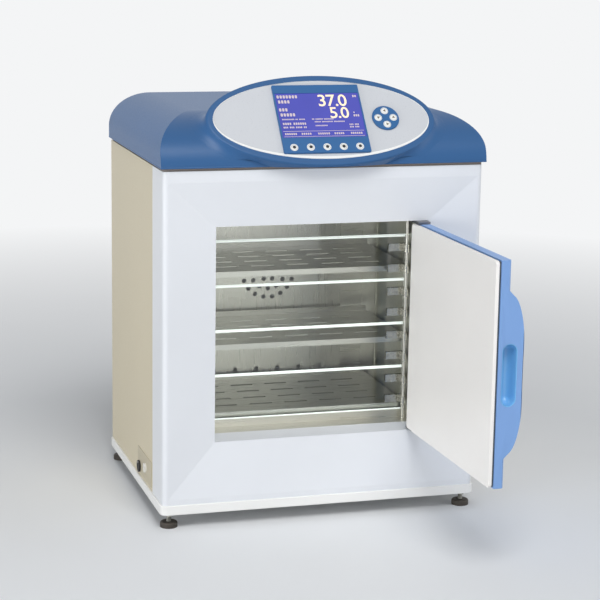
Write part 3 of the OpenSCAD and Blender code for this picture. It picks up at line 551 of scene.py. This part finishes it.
def piece(name, bm, made, body, smooth=30, eased=0.0):
    """Makes a finished piece of a bmesh and lets it ride on a body."""
    mesh = bpy.data.meshes.new(name)
    bm.to_mesh(mesh)
    bm.free()
    mesh.polygons.foreach_set("use_smooth", [True] * len(mesh.polygons))
    mesh.set_sharp_from_angle(angle=math.radians(smooth))
    mesh.materials.append(made)
    obj = bpy.data.objects.new(name, mesh)
    bpy.context.scene.collection.objects.link(obj)
    if eased:
        bevel = obj.modifiers.new("Eased edges", "BEVEL")
        bevel.width = eased
        bevel.segments = 3
        bevel.limit_method = "ANGLE"
        bevel.angle_limit = math.radians(40)
        bevel.harden_normals = False
    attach(obj, body)
    return obj


def merged_copy(node):
    """A bmesh of a CAD node with its loose triangles merged into plane faces."""
    bm = bmesh.new()
    bm.from_mesh(NODES[node].data)
    bmesh.ops.remove_doubles(bm, verts=bm.verts, dist=0.002 * MM)
    bmesh.ops.dissolve_limit(bm, angle_limit=math.radians(0.6), verts=bm.verts, edges=bm.edges)
    return bm


def eased_node(node, made, width):
    """A copy of a CAD node with its sharp edges rounded, which stands for it."""
    obj = piece(node + "_eased", merged_copy(node), made, NODES[node]["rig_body"], eased=width)
    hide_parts(node)


def disc(bm, radius, height, matrix, eased=0.0, segments=48, inner=0.0):
    """Adds a short cylinder, or a ring where it has an inner radius, with an eased top edge."""
    made = bmesh.ops.create_circle(bm, cap_ends=not inner, radius=radius, segments=segments)["verts"]
    if inner:
        hole = bmesh.ops.create_circle(bm, radius=inner, segments=segments)["verts"]
        edges = list({e for v in made + hole for e in v.link_edges})
        faces = bmesh.ops.bridge_loops(bm, edges=edges)["faces"]
    else:
        faces = list({f for v in made for f in v.link_faces})
    grown = bmesh.ops.extrude_face_region(bm, geom=faces)["geom"]
    top = [v for v in grown if isinstance(v, bmesh.types.BMVert)]
    bmesh.ops.translate(bm, verts=top, vec=(0, 0, height))
    if eased:
        lids = [f for f in grown if isinstance(f, bmesh.types.BMFace)]
        rim = [e for e in {e for f in lids for e in f.edges} if not all(f in lids for f in e.link_faces)]
        bevelled = bmesh.ops.bevel(
            bm, geom=rim, offset=eased, offset_type="OFFSET", affect="EDGES", segments=3, profile=0.5, material=-1
        )
        top = list(set(bevelled["verts"]) | {v for f in lids if f.is_valid for v in f.verts})
    known = {v for v in made + top + (hole if inner else []) if v.is_valid}
    linked = {v for f in {f for v in known for f in v.link_faces} for v in f.verts} | known
    bmesh.ops.transform(bm, matrix=matrix, verts=list(linked))


def outward(bm):
    """Turns every face of a closed mesh outwards."""
    bmesh.ops.remove_doubles(bm, verts=bm.verts, dist=0.001 * MM)
    bmesh.ops.recalc_face_normals(bm, faces=bm.faces)
    return bm


def open_edges(loop):
    """The edges of a loop of points that have fewer than two faces."""
    return list({e for v in loop for e in v.link_edges if e.other_vert(v) in loop and len(e.link_faces) < 2})


def slot_loop(bm, radius, half_length, depth):
    """Adds an upright slot's outline at a depth, and returns its vertices."""
    verts = bmesh.ops.create_circle(bm, radius=radius, segments=48, matrix=Matrix.Translation((0, 0, depth)))["verts"]
    upper = [v for v in verts if v.co.y > 1e-9]
    bmesh.ops.translate(bm, verts=upper, vec=(0, half_length, 0))
    bmesh.ops.translate(bm, verts=[v for v in verts if v not in set(upper)], vec=(0, -half_length, 0))
    return verts


def picture_frame(bm, low, high, width, inset=0.0):
    """Adds a rectangular frame with walls of a width, which fills a box drawn in by an inset."""
    verts = bmesh.ops.create_cube(bm, size=1)["verts"]
    size = high - low
    bmesh.ops.scale(bm, verts=verts, vec=(size.x - 2 * inset, size.y - 2 * inset, size.z))
    bmesh.ops.translate(bm, verts=verts, vec=(low + high) / 2)
    bm.normal_update()
    caps = [f for f in {f for v in verts for f in v.link_faces} if abs(f.normal.z) > 0.5]
    bmesh.ops.inset_individual(bm, faces=caps, thickness=width, use_even_offset=True)
    edges = [e for f in caps for e in f.edges]
    bmesh.ops.delete(bm, geom=caps, context="FACES_ONLY")
    bmesh.ops.bridge_loops(bm, edges=edges)


def bar(bm, width, height, thickness, matrix):
    """Adds a thin bar with rounded corners that lies on a place of a face."""
    verts = bmesh.ops.create_cube(bm, size=1)["verts"]
    bmesh.ops.scale(bm, verts=verts, vec=(width, height, thickness))
    edges = {e for v in verts for e in v.link_edges}
    upright = [e for e in edges if abs(e.verts[0].co.z - e.verts[1].co.z) > thickness / 2]
    grown = bmesh.ops.bevel(
        bm, geom=upright, offset=min(width, height) * 0.3, affect="EDGES", segments=2, profile=0.5, material=-1
    )["verts"]
    verts = list({v for v in verts if v.is_valid} | set(grown))
    bmesh.ops.transform(bm, matrix=matrix @ Matrix.Translation((0, 0, thickness / 2)), verts=verts)


def face_place(x, up, height=0.0):
    """Matrix of a place on the console's face, in millimetres."""
    return ON_FACE @ Matrix.Translation(Vector((x, up, height)) * MM)


def softkey_place(i, height):
    """Place of a key in the row under the display, counted from 1."""
    return face_place((i - 3) * SOFTKEY_PITCH - 3, -59, height)


def arrow_place(i, height):
    """Place and direction of an arrow key, in the order up, right, down, left."""
    turn = math.radians(90 - 90 * i)
    across, up = ARROWS_RADIUS * math.cos(turn), ARROWS_RADIUS * math.sin(turn)
    return face_place(ARROWS_MIDDLE + across, up, height), turn


def arc_height(half, crown, off):
    """Height of an arc over its chord, at a distance off its middle."""
    radius = (half * half + crown * crown) / (2 * crown)
    return crown - radius + math.sqrt(max(0, radius * radius - off * off))


def soft_foot(height, reach):
    """The height, running out softly where it would go below nought."""
    return reach * math.log(1 + math.exp(height / reach))


class IncubatorOperator:
    """What every step shares."""

    bl_options = {"REGISTER", "UNDO"}


class INCUBATOR_OT_cabinet(IncubatorOperator, bpy.types.Operator):
    """Finishes the side walls, fascia, base tray, feet and service plate"""

    bl_idname = "incubator.cabinet"
    bl_label = "Cabinet"

    def execute(self, context):
        colours, sizes = context.scene.incubator_colours, context.scene.incubator_sizes
        coat = powder_coat("baked_powder_coat_cream", colours.cabinet)
        eased_node("cabinet_wrap", coat, sizes.edge)
        dress(coat, "rear_panel")
        dress(powder_coat("baked_powder_coat_sand", [c * 0.82 for c in colours.cabinet]), "service_plate")
        eased_node("base_tray", powder_coat("baked_powder_coat_white", colours.tray), sizes.edge)
        dress(moulded_abs("moulded_abs_white", colours.fascia, 0.4), "fascia")
        dress(foam("polyurethane_foam", linear("#cdb98a")), "insulation", "door_core")
        dress(foot_finish("rubber_pad_and_zinc_stud"), *FEET)
        dress(cast_metal("zinc_plated_nut", linear("#b5b4ab")), "foot_nuts")
        dress(moulded_abs("moulded_nylon_white", linear("#e6e4de"), 0.4), "sample_port")
        dress(moulded_rubber("moulded_nylon_black", linear("#1c1c1e")), "thermostat_dial", "power_inlet")
        dress(cast_metal("turned_brass", linear("#b08d4e"), 0.3), "gas_inlet")
        self.add_rivets(sizes)
        self.add_dial_mark()
        return {"FINISHED"}

    def add_rivets(self, sizes):
        """Blind rivets in the turned edge of the side walls, all round the rear panel."""
        bm = bmesh.new()
        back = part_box("cabinet_wrap")[1].y
        places = [(x, z) for x in (-284, 284) for z in (70, 175, 280, 385, 490, 590)]
        places += [(x, 627) for x in (-190, 0, 190)]
        pin = 1.3 * MM
        for x, z in places:
            at = Matrix.Translation((x * MM, back, z * MM)) @ Matrix.Rotation(math.radians(-90), 4, "X")
            disc(bm, sizes.rivet / 2, 1.2 * MM, at, eased=0.5 * MM, segments=20, inner=pin)
            disc(bm, pin, 0.6 * MM, at, eased=0.2 * MM, segments=16)
        made = cast_metal("aluminium_rivet", linear("#b9bab8"), 0.32)
        piece("rear_panel_rivets", outward(bm), made, "cabinet", 35)

    def add_dial_mark(self):
        """White pointer line on the rim of the thermostat's dial."""
        low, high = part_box("thermostat_dial")
        bm = bmesh.new()
        at = Matrix.Translation((low.x, (low.y + high.y) / 2, high.z - 3.4 * MM))
        bar(bm, 4 * MM, 1.2 * MM, 0.15 * MM, at @ Matrix.Rotation(math.radians(-90), 4, "Y"))
        # The mark's glow is a painted glow: a paint mark gives no light
        piece("thermostat_dial_mark", outward(bm), lit_figure("paint_white_painted_glow", linear("#e8e8e4")), "thermostat_dial")


class INCUBATOR_OT_hood(IncubatorOperator, bpy.types.Operator):
    """Finishes the moulded hood, and fills the corner between the hood and the console with a soft hollow"""

    bl_idname = "incubator.hood"
    bl_label = "Hood"

    def execute(self, context):
        colours, sizes = context.scene.incubator_colours, context.scene.incubator_sizes
        made = moulded_abs("moulded_abs_blue", colours.hood, 0.38, coat=0.0, gloss=0.3)
        dress(made, "hood", "console_housing")
        dress(circuit_laminate("glass_epoxy_laminate"), "circuit_board")
        self.add_fairing(made, sizes)
        self.add_hem(made)
        return {"FINISHED"}

    def add_hem(self, made):
        """Lip along the hood's lower edge, and a taupe strip in the gap under it, which is painted shade standing for
        the shaded gap.
        """
        low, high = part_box("hood")
        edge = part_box("console_housing")[0].z
        bm = bmesh.new()
        start, stop = Vector((low.x, low.y, edge)), Vector((high.x, high.y, edge + 2.6 * MM))
        picture_frame(bm, start, stop, 2 * MM, -0.45 * MM)
        piece("hood_hem", outward(bm), made, "cabinet", 35, eased=0.8 * MM)
        # Painted shade: a taupe strip fills the gap under the hood and stands in for the shade in it
        bm = bmesh.new()
        inset = 7 * MM
        start, stop = Vector((low.x + inset, low.y + inset, low.z)), Vector((high.x - inset, high.y - inset, edge))
        picture_frame(bm, start, stop, 6 * MM)
        piece("hood_gap_shade_strip", outward(bm), moulded_rubber("taupe_strip_painted_gap_shade", linear("#8d837d")), "cabinet")

    def in_oval(self, place):
        """Whether a place lies on the console's oval face or just round it."""
        flat, margin, rim = ON_FACE.inverted() @ place, 3 * MM, 25 * MM
        across, up = flat.x / (FACE_HALF[0] + margin), flat.y / (FACE_HALF[1] + margin)
        return flat.z > -rim and across**2 + up**2 < 1

    def hold_out(self, bm, crisp):
        """Brings points that sank into the solids back to their surface."""
        for v in bm.verts:
            place, normal, _, _ = crisp.find_nearest(v.co)
            if (v.co - place).dot(normal) < 0:
                v.co = place

    def add_fairing(self, made, sizes):
        """Soft hollow between hood and console: both remeshed as one form, smoothed and kept where it stands out."""
        solids = bmesh.new()
        for name in ("hood", "console_housing"):
            solids.from_mesh(NODES[name].data)
        bmesh.ops.remove_doubles(solids, verts=solids.verts, dist=0.002 * MM)
        crisp = BVHTree.FromBMesh(solids)
        rough = bpy.data.meshes.new("fairing_form")
        solids.to_mesh(rough)
        solids.free()
        form = bpy.data.objects.new("fairing_form", rough)
        bpy.context.scene.collection.objects.link(form)
        grid = form.modifiers.new("Grid", "REMESH")
        grid.mode = "VOXEL"
        grid.voxel_size = sizes.fairing
        evaluated = form.evaluated_get(bpy.context.evaluated_depsgraph_get())
        bm = bmesh.new()
        bm.from_mesh(evaluated.to_mesh())
        bpy.data.objects.remove(form)
        rear, side, below, reach = -20 * MM, 270 * MM, 642 * MM, 290 * MM
        far = [
            v
            for v in bm.verts
            if v.co.y > rear or abs(v.co.x) > side or v.co.z < below or (v.co - FACE_MIDDLE).length > reach
        ]
        bmesh.ops.delete(bm, geom=far, context="VERTS")
        hold_every = 6
        for turn in range(sizes.fairing_passes):
            bmesh.ops.smooth_vert(bm, verts=bm.verts, factor=0.5, use_axis_x=True, use_axis_y=True, use_axis_z=True)
            if turn % hold_every == hold_every - 1:
                self.hold_out(bm, crisp)
        # A point in the hood's hollow, under the console: outer surfaces look away from it
        inside = Vector((0, -160, 640)) * MM
        kept = set()
        for v in bm.verts:
            place, normal, _, _ = crisp.find_nearest(v.co)
            stands_out = (v.co - place).dot(normal) > 0.1 * MM
            if stands_out and normal.dot(place - inside) > 0 and not self.in_oval(v.co):
                kept.add(v)
        # Two more rings of points, the outer one just under the surface, so that the edge doesn't show
        for sunk in (0.0, 0.7 * MM):
            ring = {e.other_vert(v) for v in kept for e in v.link_edges} - kept
            for v in ring:
                place, normal, _, _ = crisp.find_nearest(v.co)
                v.co = place - normal * sunk
            kept |= ring
        bmesh.ops.delete(bm, geom=[v for v in bm.verts if v not in kept], context="VERTS")
        bmesh.ops.recalc_face_normals(bm, faces=bm.faces)
        outer = sum(f.normal.dot(f.calc_center_median() - inside) > 0 for f in bm.faces)
        if outer * 2 < len(bm.faces):
            bmesh.ops.reverse_faces(bm, faces=bm.faces)
        piece("console_fairing", bm, made, "cabinet", 180)


class INCUBATOR_OT_console(IncubatorOperator, bpy.types.Operator):
    """Finishes the oval face, the display and the keys, and adds their rings, marks, figures, and the white lip along
    the oval's lower edge, which is partly a painted highlight
    """

    bl_idname = "incubator.console"
    bl_label = "Console"

    def execute(self, context):
        colours, sizes = context.scene.incubator_colours, context.scene.incubator_sizes
        dress(moulded_abs("moulded_abs_pale_grey", colours.panel, 0.3), "console_panel")
        trim = moulded_abs("moulded_abs_teal", colours.trim, 0.45, coat=0.0)
        eased_node("display_surround", trim, 0.6 * MM)
        eased_node("arrow_pad", trim, 0.6 * MM)
        dress(lit_screen("backlit_screen_violet", colours.screen), "display_window")
        white = moulded_abs("moulded_abs_key_white", linear("#f2f2f0"), 0.3)
        dress(white, *SOFTKEYS, *ARROWS)
        self.add_lip_and_highlight(white)
        self.add_key_trim(white, sizes)
        self.add_figures(
            lit_figure("lit_cells_cream", colours.figures),
            lit_figure("lit_cells_dimmed", [0.55 * a + 0.45 * b for a, b in zip(colours.figures, colours.screen)]),
        )
        return {"FINISHED"}

    def add_lip_and_highlight(self, made):
        """Crescent bead along the lower edge of the oval face: partly the face's real lip, and partly a painted
        highlight, white and widest where the edge faces the light.
        """
        bm = bmesh.new()
        outer = bmesh.ops.create_circle(bm, radius=1, segments=160)["verts"]
        inner = bmesh.ops.create_circle(bm, radius=1, segments=160)["verts"]
        bmesh.ops.scale(bm, verts=outer, vec=(FACE_HALF[0] - 0.3 * MM, FACE_HALF[1] - 0.3 * MM, 1))
        bmesh.ops.scale(bm, verts=inner, vec=(FACE_HALF[0] - 0.7 * MM, FACE_HALF[1] - 2.7 * MM, 1))
        bmesh.ops.translate(bm, verts=inner, vec=(0, 2.2 * MM, 0))
        edges = list({e for v in outer + inner for e in v.link_edges})
        faces = bmesh.ops.bridge_loops(bm, edges=edges)["faces"]
        grown = bmesh.ops.extrude_face_region(bm, geom=faces)["geom"]
        top = [v for v in grown if isinstance(v, bmesh.types.BMVert)]
        bmesh.ops.translate(bm, verts=top, vec=(0, 0, 0.9 * MM))
        bmesh.ops.transform(bm, matrix=ON_FACE, verts=bm.verts)
        piece("console_lip_and_painted_highlight", outward(bm), made, "cabinet", 35, eased=0.25 * MM)

    def add_key_trim(self, white, sizes):
        """White rings on the surround and the arrow pad, a black lens on each key and a mark on each arrow key."""
        rings, arrow_rings = bmesh.new(), bmesh.new()
        lens = moulded_rubber("polished_acrylic_black", linear("#141416"))
        # The arrow marks' glow is a painted glow: printed ink gives no light
        gold = lit_figure("printed_ink_bronze_painted_glow", linear("#5b5138"))
        for i, name in enumerate(SOFTKEYS, 1):
            disc(rings, sizes.ring / 2, 0.5 * MM, softkey_place(i, SURROUND_TOP), eased=0.2 * MM, inner=5.5 * MM)
            bm = bmesh.new()
            disc(bm, 3 * MM, 0.5 * MM, softkey_place(i, SOFTKEY_TOP), eased=0.35 * MM, segments=32)
            piece(name + "_lens", outward(bm), lens, name)
        for i, name in enumerate(ARROWS):
            at, turn = arrow_place(i, PAD_TOP)
            disc(arrow_rings, sizes.ring / 2 - 0.1 * MM, 0.45 * MM, at, eased=0.2 * MM, inner=6 * MM)
            bm = bmesh.new()
            top = arrow_place(i, ARROW_TOP)[0] @ Matrix.Rotation(turn, 4, "Z")
            disc(bm, 3.1 * MM, 0.3 * MM, top, eased=0.12 * MM, segments=3)
            piece(name + "_mark", outward(bm), gold, name)
        piece("softkey_rings", outward(rings), white, "cabinet", 40)
        piece("arrow_rings", outward(arrow_rings), white, "cabinet", 40)

    def add_figures(self, made, small):
        """Figures of the display, and rows of small blocks where finer lines stand."""
        # Name, text, right end, height up the face, and size, in millimetres
        for name, text, x, up, size in (("figure_upper", "37.0", 50.5, 26, 34), ("figure_lower", "5.0", 50, 1, 32)):
            curve = bpy.data.curves.new(name, "FONT")
            curve.body, curve.align_x, curve.size, curve.space_character = text, "RIGHT", size * MM, 0.92
            curve.extrude, curve.offset, curve.resolution_u = 0.05 * MM, 0.35 * MM, 4
            text_object = bpy.data.objects.new(name + "_text", curve)
            bpy.context.scene.collection.objects.link(text_object)
            bm = bmesh.new()
            bm.from_mesh(text_object.evaluated_get(bpy.context.evaluated_depsgraph_get()).to_mesh())
            bpy.data.objects.remove(text_object)
            bmesh.ops.transform(bm, matrix=face_place(x, up, WINDOW_TOP + 0.05), verts=bm.verts)
            piece(name, outward(bm), made, "cabinet", 35)
        bm = bmesh.new()
        thin = 0.12 * MM
        # Rows of the display: left end, height up the face, height of a block, and blocks in each group
        rows = (
            (-76, 46, 6.4, (7,)),
            (-75, 35.5, 6.4, (4,)),
            (-76, 19, 6.4, (3,)),
            (-75, 8.5, 6.4, (5,)),
            (-74, -1, 2.6, (10, 2, 5)),
            (-20, -1, 2.6, (2, 6, 8)),
            (-74, -10, 4.6, (4, 6)),
            (-16, -6.5, 2.6, (5, 9, 9)),
            (-74, -17.5, 3.4, (3, 3, 4, 2)),
            (-16, -14.5, 2.6, (10,)),
            (46, -13, 3, (3, 3)),
            (46, -18, 3, (3, 3)),
            (62, 46, 4.6, (2,)),
            (58, 12, 3, (1,)),
            (57, 5.5, 4.4, (3,)),
        )
        for x, up, height, groups in rows:
            for count in groups:
                for _ in range(count):
                    bar(bm, 0.62 * height * MM, height * MM, thin, face_place(x + 0.31 * height, up, WINDOW_TOP))
                    x += 0.86 * height
                x += 0.7 * height
        # A short row over each key, between two lines
        for i in range(1, 6):
            for k in range(5 + i % 2):
                bar(bm, 2.6 * MM, 4 * MM, thin, face_place((i - 3) * SOFTKEY_PITCH - 13 + 3.7 * k, -31, WINDOW_TOP))
        for up in (-25.5, -36.5):
            bar(bm, 146 * MM, 0.7 * MM, thin, face_place(-3, up, WINDOW_TOP))
        piece("display_rows", outward(bm), small, "cabinet")


class INCUBATOR_OT_chamber(IncubatorOperator, bpy.types.Operator):
    """Finishes the steel chamber with its shelves, duct and fan, and the glass doors"""

    bl_idname = "incubator.chamber"
    bl_label = "Chamber"

    def execute(self, context):
        steel = brushed_stainless("stainless_brushed_level", (0.02, 1, 1))
        upright = brushed_stainless("stainless_brushed_upright", (1, 1, 0.02))
        dress(steel, "chamber", "glass_frame", "humidity_pan", "shelf_low", "shelf_middle", "shelf_top")
        dress(upright, "rack_left", "rack_right", "air_duct")
        turned = cast_metal("stainless_turned", linear("#c2c1b8"), 0.22)
        dress(turned, "climate_probes", *["pane_fittings_%d" % i for i in range(1, 5)])
        dress(cast_metal("aluminium_cast", linear("#a9abab"), 0.4), "fan_wheel", "fan_motor")
        dress(cast_metal("heater_sheath_oxidised", linear("#5c5650"), 0.5), "heater")
        dress(float_glass("float_glass_clear"), "transom_glass", *["pane_%d" % i for i in range(1, 5)])
        return {"FINISHED"}


class INCUBATOR_OT_door(IncubatorOperator, bpy.types.Operator):
    """Finishes the outer door and lines its finger recess"""

    bl_idname = "incubator.door"
    bl_label = "Outer door"

    def execute(self, context):
        colours = context.scene.incubator_colours
        self.add_shell(moulded_abs("moulded_abs_sky_blue", colours.door, 0.4))
        eased_node("door_liner", moulded_abs("moulded_polystyrene_white", colours.liner, 0.38, coat=0.05), 1.6 * MM)
        dress(moulded_rubber("rubber_seal_grey", linear("#4b5058")), "door_seal")
        dress(cast_metal("steel_hinge_plated", linear("#7d8088"), 0.36), "hinge_plates")
        # Painted light: the trough's blue is made purer and brighter, standing in for the light thrown about in it
        recess_blue_painted_bounce = [min(1, c * k) for c, k in zip(colours.door, (0.9, 1.25, 1.1))]
        self.add_recess(moulded_abs("moulded_abs_recess_blue_painted_bounce", recess_blue_painted_bounce, 0.22, coat=0.4))
        return {"FINISHED"}

    def add_shell(self, made):
        """The door's shell, with its grip's swelling drawn fuller and run out softly into the flat face."""
        bm = merged_copy("door_shell")
        bmesh.ops.transform(bm, matrix=ON_DOOR.inverted(), verts=bm.verts)
        reach = GRIP_HALF + 35 * MM
        # Cuts across the door's face, so that it can be bent: along X and along Z
        for axis, start, stop, step in (
            (0, DOOR_FREE + 4 * MM, DOOR_FREE + 122 * MM, 4 * MM),
            (2, GRIP_MIDDLE - reach, GRIP_MIDDLE + reach, 5 * MM),
        ):
            place = start
            while place <= stop:
                near = [f for f in bm.faces if self.on_swelling(f.calc_center_median(), f.normal, 60 * MM)]
                point, normal = Vector((0, 0, 0)), Vector((0, 0, 0))
                point[axis], normal[axis] = place, 1
                geom = near + list({e for f in near for e in f.edges} | {v for f in near for v in f.verts})
                bmesh.ops.bisect_plane(bm, geom=geom, dist=0.01 * MM, plane_co=point, plane_no=normal)
                place += step
        bent = {v for f in bm.faces if self.on_swelling(f.calc_center_median(), f.normal, 0) for v in f.verts}
        for v in bent:
            height, crisp, soft = DOOR_FACE - v.co.y, *self.swelling(v.co)
            if abs(height - crisp) < 0.4 * MM:
                v.co.y = DOOR_FACE - soft
            elif height > 0 and crisp > 0:
                v.co.y = DOOR_FACE - height * soft / crisp
        bmesh.ops.transform(bm, matrix=ON_DOOR, verts=bm.verts)
        obj = piece("door_shell_soft", bm, made, NODES["door_shell"]["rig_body"], 35, 1.2 * MM)
        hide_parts("door_shell")

    def on_swelling(self, middle, normal, margin):
        """Whether a face of the door lies on its outer side near the grip."""
        inwards = middle.x - DOOR_FREE
        return normal.y < -0.3 and middle.y < DOOR_FACE + 0.1 * MM and inwards < 125 * MM + margin

    def swelling(self, place):
        """Height of the swelling over the door's face, in the CAD and as drawn: fuller, with soft ridges."""
        inwards, upwards = place.x - DOOR_FREE, place.z - GRIP_MIDDLE
        run, past = GRIP_REACH - GRIP_LEVEL, max(0, inwards - GRIP_LEVEL)
        crisp = min(arc_height(GRIP_HALF, GRIP_CROWN, upwards), arc_height(run, GRIP_CROWN, past))
        up = GRIP_FULL_CROWN * max(0, 1 - (upwards / GRIP_HALF) ** 2) ** GRIP_FULLNESS
        along = soft_foot(arc_height(run, GRIP_FULL_CROWN, past), 4 * MM)
        # The lesser of the two, rounded off where they meet, and levelled so that the crown keeps its height
        ridge = 2.5 * MM
        level = GRIP_FULL_CROWN / (GRIP_FULL_CROWN - ridge * math.log(2))
        lesser = -ridge * math.log(math.exp(-up / ridge) + math.exp(-along / ridge)) * level
        return max(0, crisp), soft_foot(lesser, MM)

    def add_recess(self, made):
        """Trough with round ends and a round floor inside the finger recess."""
        bm = bmesh.new()
        # The CAD's recess is 103 mm long, 25 mm wide and 26 mm deep; the trough lies in it, with a lip round its mouth
        radius, half_length, depth, steps = 12.3 * MM, (103 / 2 - 12.5) * MM, 21 * MM, 12
        lip, lip_height = 1.1 * MM, 0.25 * MM
        before = slot_loop(bm, radius + lip, half_length, lip_height)
        for k in range(steps + 1):
            turn = math.radians(86 * k / steps)
            after = slot_loop(bm, radius * math.cos(turn), half_length, -depth * math.sin(turn))
            bmesh.ops.bridge_loops(bm, edges=open_edges(before) + open_edges(after))
            before = after
        bmesh.ops.contextual_create(bm, geom=open_edges(before))
        # The slot is drawn with its length along Y and its mouth towards +Z
        stand = Matrix(((0, 0, -1, DOOR_FREE), (1, 0, 0, -10.5 * MM), (0, 1, 0, GRIP_MIDDLE), (0, 0, 0, 1)))
        bmesh.ops.transform(bm, matrix=ON_DOOR @ stand, verts=bm.verts)
        outward(bm)
        out = (ON_DOOR.to_3x3() @ Vector((-1, 0, 0))).normalized()
        if sum(f.normal.dot(out) for f in bm.faces) < 0:
            bmesh.ops.reverse_faces(bm, faces=bm.faces)
        piece("finger_recess_trough", bm, made, "outer_door", 60)


class INCUBATOR_OT_studio(IncubatorOperator, bpy.types.Operator):
    """Sets up the floor, the soft lights and the camera"""

    bl_idname = "incubator.studio"
    bl_label = "Studio"

    def execute(self, context):
        studio = context.scene.incubator_studio
        self.add_floor()
        for name, setting, share, size, place in LIGHTS:
            self.add_light(name, getattr(studio, setting) * share, size, place)
        world = bpy.data.worlds.new("even_room_light")
        world.use_nodes = True
        world.node_tree.nodes.clear()
        tree = world.node_tree
        pale = self.sees_background(tree)
        seen = add(tree, "ShaderNodeBackground", {"Color": (*linear("#f4f5f6"), 1), "Strength": 1.0})
        even = add(tree, "ShaderNodeBackground", {"Color": (*linear("#eef1f5"), 1), "Strength": studio.sky})
        shown = add(tree, "ShaderNodeMixShader", {0: pale, 1: even.outputs[0], 2: seen.outputs[0]})
        add(tree, "ShaderNodeOutputWorld", {"Surface": shown.outputs[0]})
        context.scene.world = world
        self.add_camera(context, studio)
        context.scene.view_settings.view_transform = "Standard"
        return {"FINISHED"}

    def sees_background(self, tree):
        """One for camera, glossy and transmitted rays, which see the pale background, and zero for the rest."""
        rays = add(tree, "ShaderNodeLightPath").outputs
        seen = rays["Is Camera Ray"]
        for kind in ("Is Glossy Ray", "Is Transmission Ray"):
            seen = add(tree, "ShaderNodeMath", {0: seen, 1: rays[kind]}, operation="MAXIMUM").outputs[0]
        return seen

    def add_floor(self):
        """Pale floor that fades into the background and keeps its shadow."""
        bm = bmesh.new()
        bmesh.ops.create_grid(bm, x_segments=24, y_segments=24, size=9)
        mesh = bpy.data.meshes.new("studio_floor")
        bm.to_mesh(mesh)
        bm.free()
        made, tree, place = begin("studio_paper")
        # Matt studio paper: pale, with a trace of unevenness, fading into the background far off
        far = add(tree, "ShaderNodeVectorMath", {0: place}, operation="LENGTH").outputs["Value"]
        fade = between(tree, far, 0.0, 1.0, 0.8, 3.0)
        paper = blended(tree, noise(tree, place, 0.4, 2), (*linear("#e6e8ea"), 1), (*linear("#eaecee"), 1))
        skin = add(
            tree, "ShaderNodeBsdfPrincipled", {"Base Color": paper, "Roughness": 0.9, "Specular IOR Level": 0.2}
        )
        glow = add(tree, "ShaderNodeEmission", {"Color": (*linear("#f4f5f6"), 1), "Strength": 1.0})
        both = add(tree, "ShaderNodeMath", {0: fade, 1: self.sees_background(tree)}, operation="MULTIPLY")
        end(tree, add(tree, "ShaderNodeMixShader", {0: both.outputs[0], 1: skin.outputs[0], 2: glow.outputs[0]}))
        mesh.materials.append(made)
        floor = bpy.data.objects.new("studio_floor", mesh)
        bpy.context.scene.collection.objects.link(floor)

    def add_light(self, name, power, size, place):
        """Round softbox that looks at the middle of the incubator."""
        lamp = bpy.data.lights.new(name, "AREA")
        lamp.energy, lamp.shape, lamp.size = power, "DISK", size
        obj = bpy.data.objects.new(name, lamp)
        obj.location = place
        obj.rotation_euler = (Vector((0, -0.1, 0.35)) - Vector(place)).to_track_quat("-Z", "Y").to_euler()
        bpy.context.scene.collection.objects.link(obj)

    def add_camera(self, context, studio):
        """Camera at the photograph's place and angle."""
        camera = bpy.data.cameras.new("studio_camera")
        camera.lens, camera.sensor_width = studio.lens, 36
        camera.clip_start, camera.clip_end = 0.1, 60
        obj = bpy.data.objects.new("studio_camera", camera)
        yaw, pitch, roll = studio.yaw, studio.pitch, studio.roll
        ahead = Vector((math.sin(yaw) * math.cos(pitch), math.cos(yaw) * math.cos(pitch), -math.sin(pitch)))
        level = Vector((math.cos(yaw), -math.sin(yaw), 0))
        over = level.cross(ahead)
        right = level * math.cos(roll) + over * math.sin(roll)
        up = over * math.cos(roll) - level * math.sin(roll)
        turn = Matrix((right, up, -ahead)).transposed().to_4x4()
        obj.matrix_world = Matrix.Translation(studio.place) @ turn
        context.scene.collection.objects.link(obj)
        context.scene.camera = obj


STEPS = (
    INCUBATOR_OT_studio,
    INCUBATOR_OT_cabinet,
    INCUBATOR_OT_hood,
    INCUBATOR_OT_console,
    INCUBATOR_OT_chamber,
    INCUBATOR_OT_door,
)


class INCUBATOR_PT_dressing(bpy.types.Panel):
    """Steps and settings of the incubator's finishes"""

    bl_label = "Incubator dressing"
    bl_idname = "INCUBATOR_PT_dressing"
    bl_space_type = "VIEW_3D"
    bl_region_type = "UI"
    bl_category = "Incubator"

    def draw(self, context):
        for step in STEPS:
            self.layout.operator(step.bl_idname)
        for group in (context.scene.incubator_colours, context.scene.incubator_sizes, context.scene.incubator_studio):
            box = self.layout.box()
            for name in group.__annotations__:
                box.prop(group, name)


CLASSES = (IncubatorColours, IncubatorSizes, IncubatorStudio, *STEPS, INCUBATOR_PT_dressing)


def register():
    for made in CLASSES:
        bpy.utils.register_class(made)
    bpy.types.Scene.incubator_colours = PointerProperty(type=IncubatorColours)
    bpy.types.Scene.incubator_sizes = PointerProperty(type=IncubatorSizes)
    bpy.types.Scene.incubator_studio = PointerProperty(type=IncubatorStudio)


def unregister():
    del bpy.types.Scene.incubator_studio
    del bpy.types.Scene.incubator_sizes
    del bpy.types.Scene.incubator_colours
    for made in reversed(CLASSES):
        bpy.utils.unregister_class(made)


def main():
    register()
    bpy.ops.incubator.studio()
    bpy.ops.incubator.cabinet()
    bpy.ops.incubator.hood()
    bpy.ops.incubator.console()
    bpy.ops.incubator.chamber()
    bpy.ops.incubator.door()


if __name__ == "__main__":
    main()
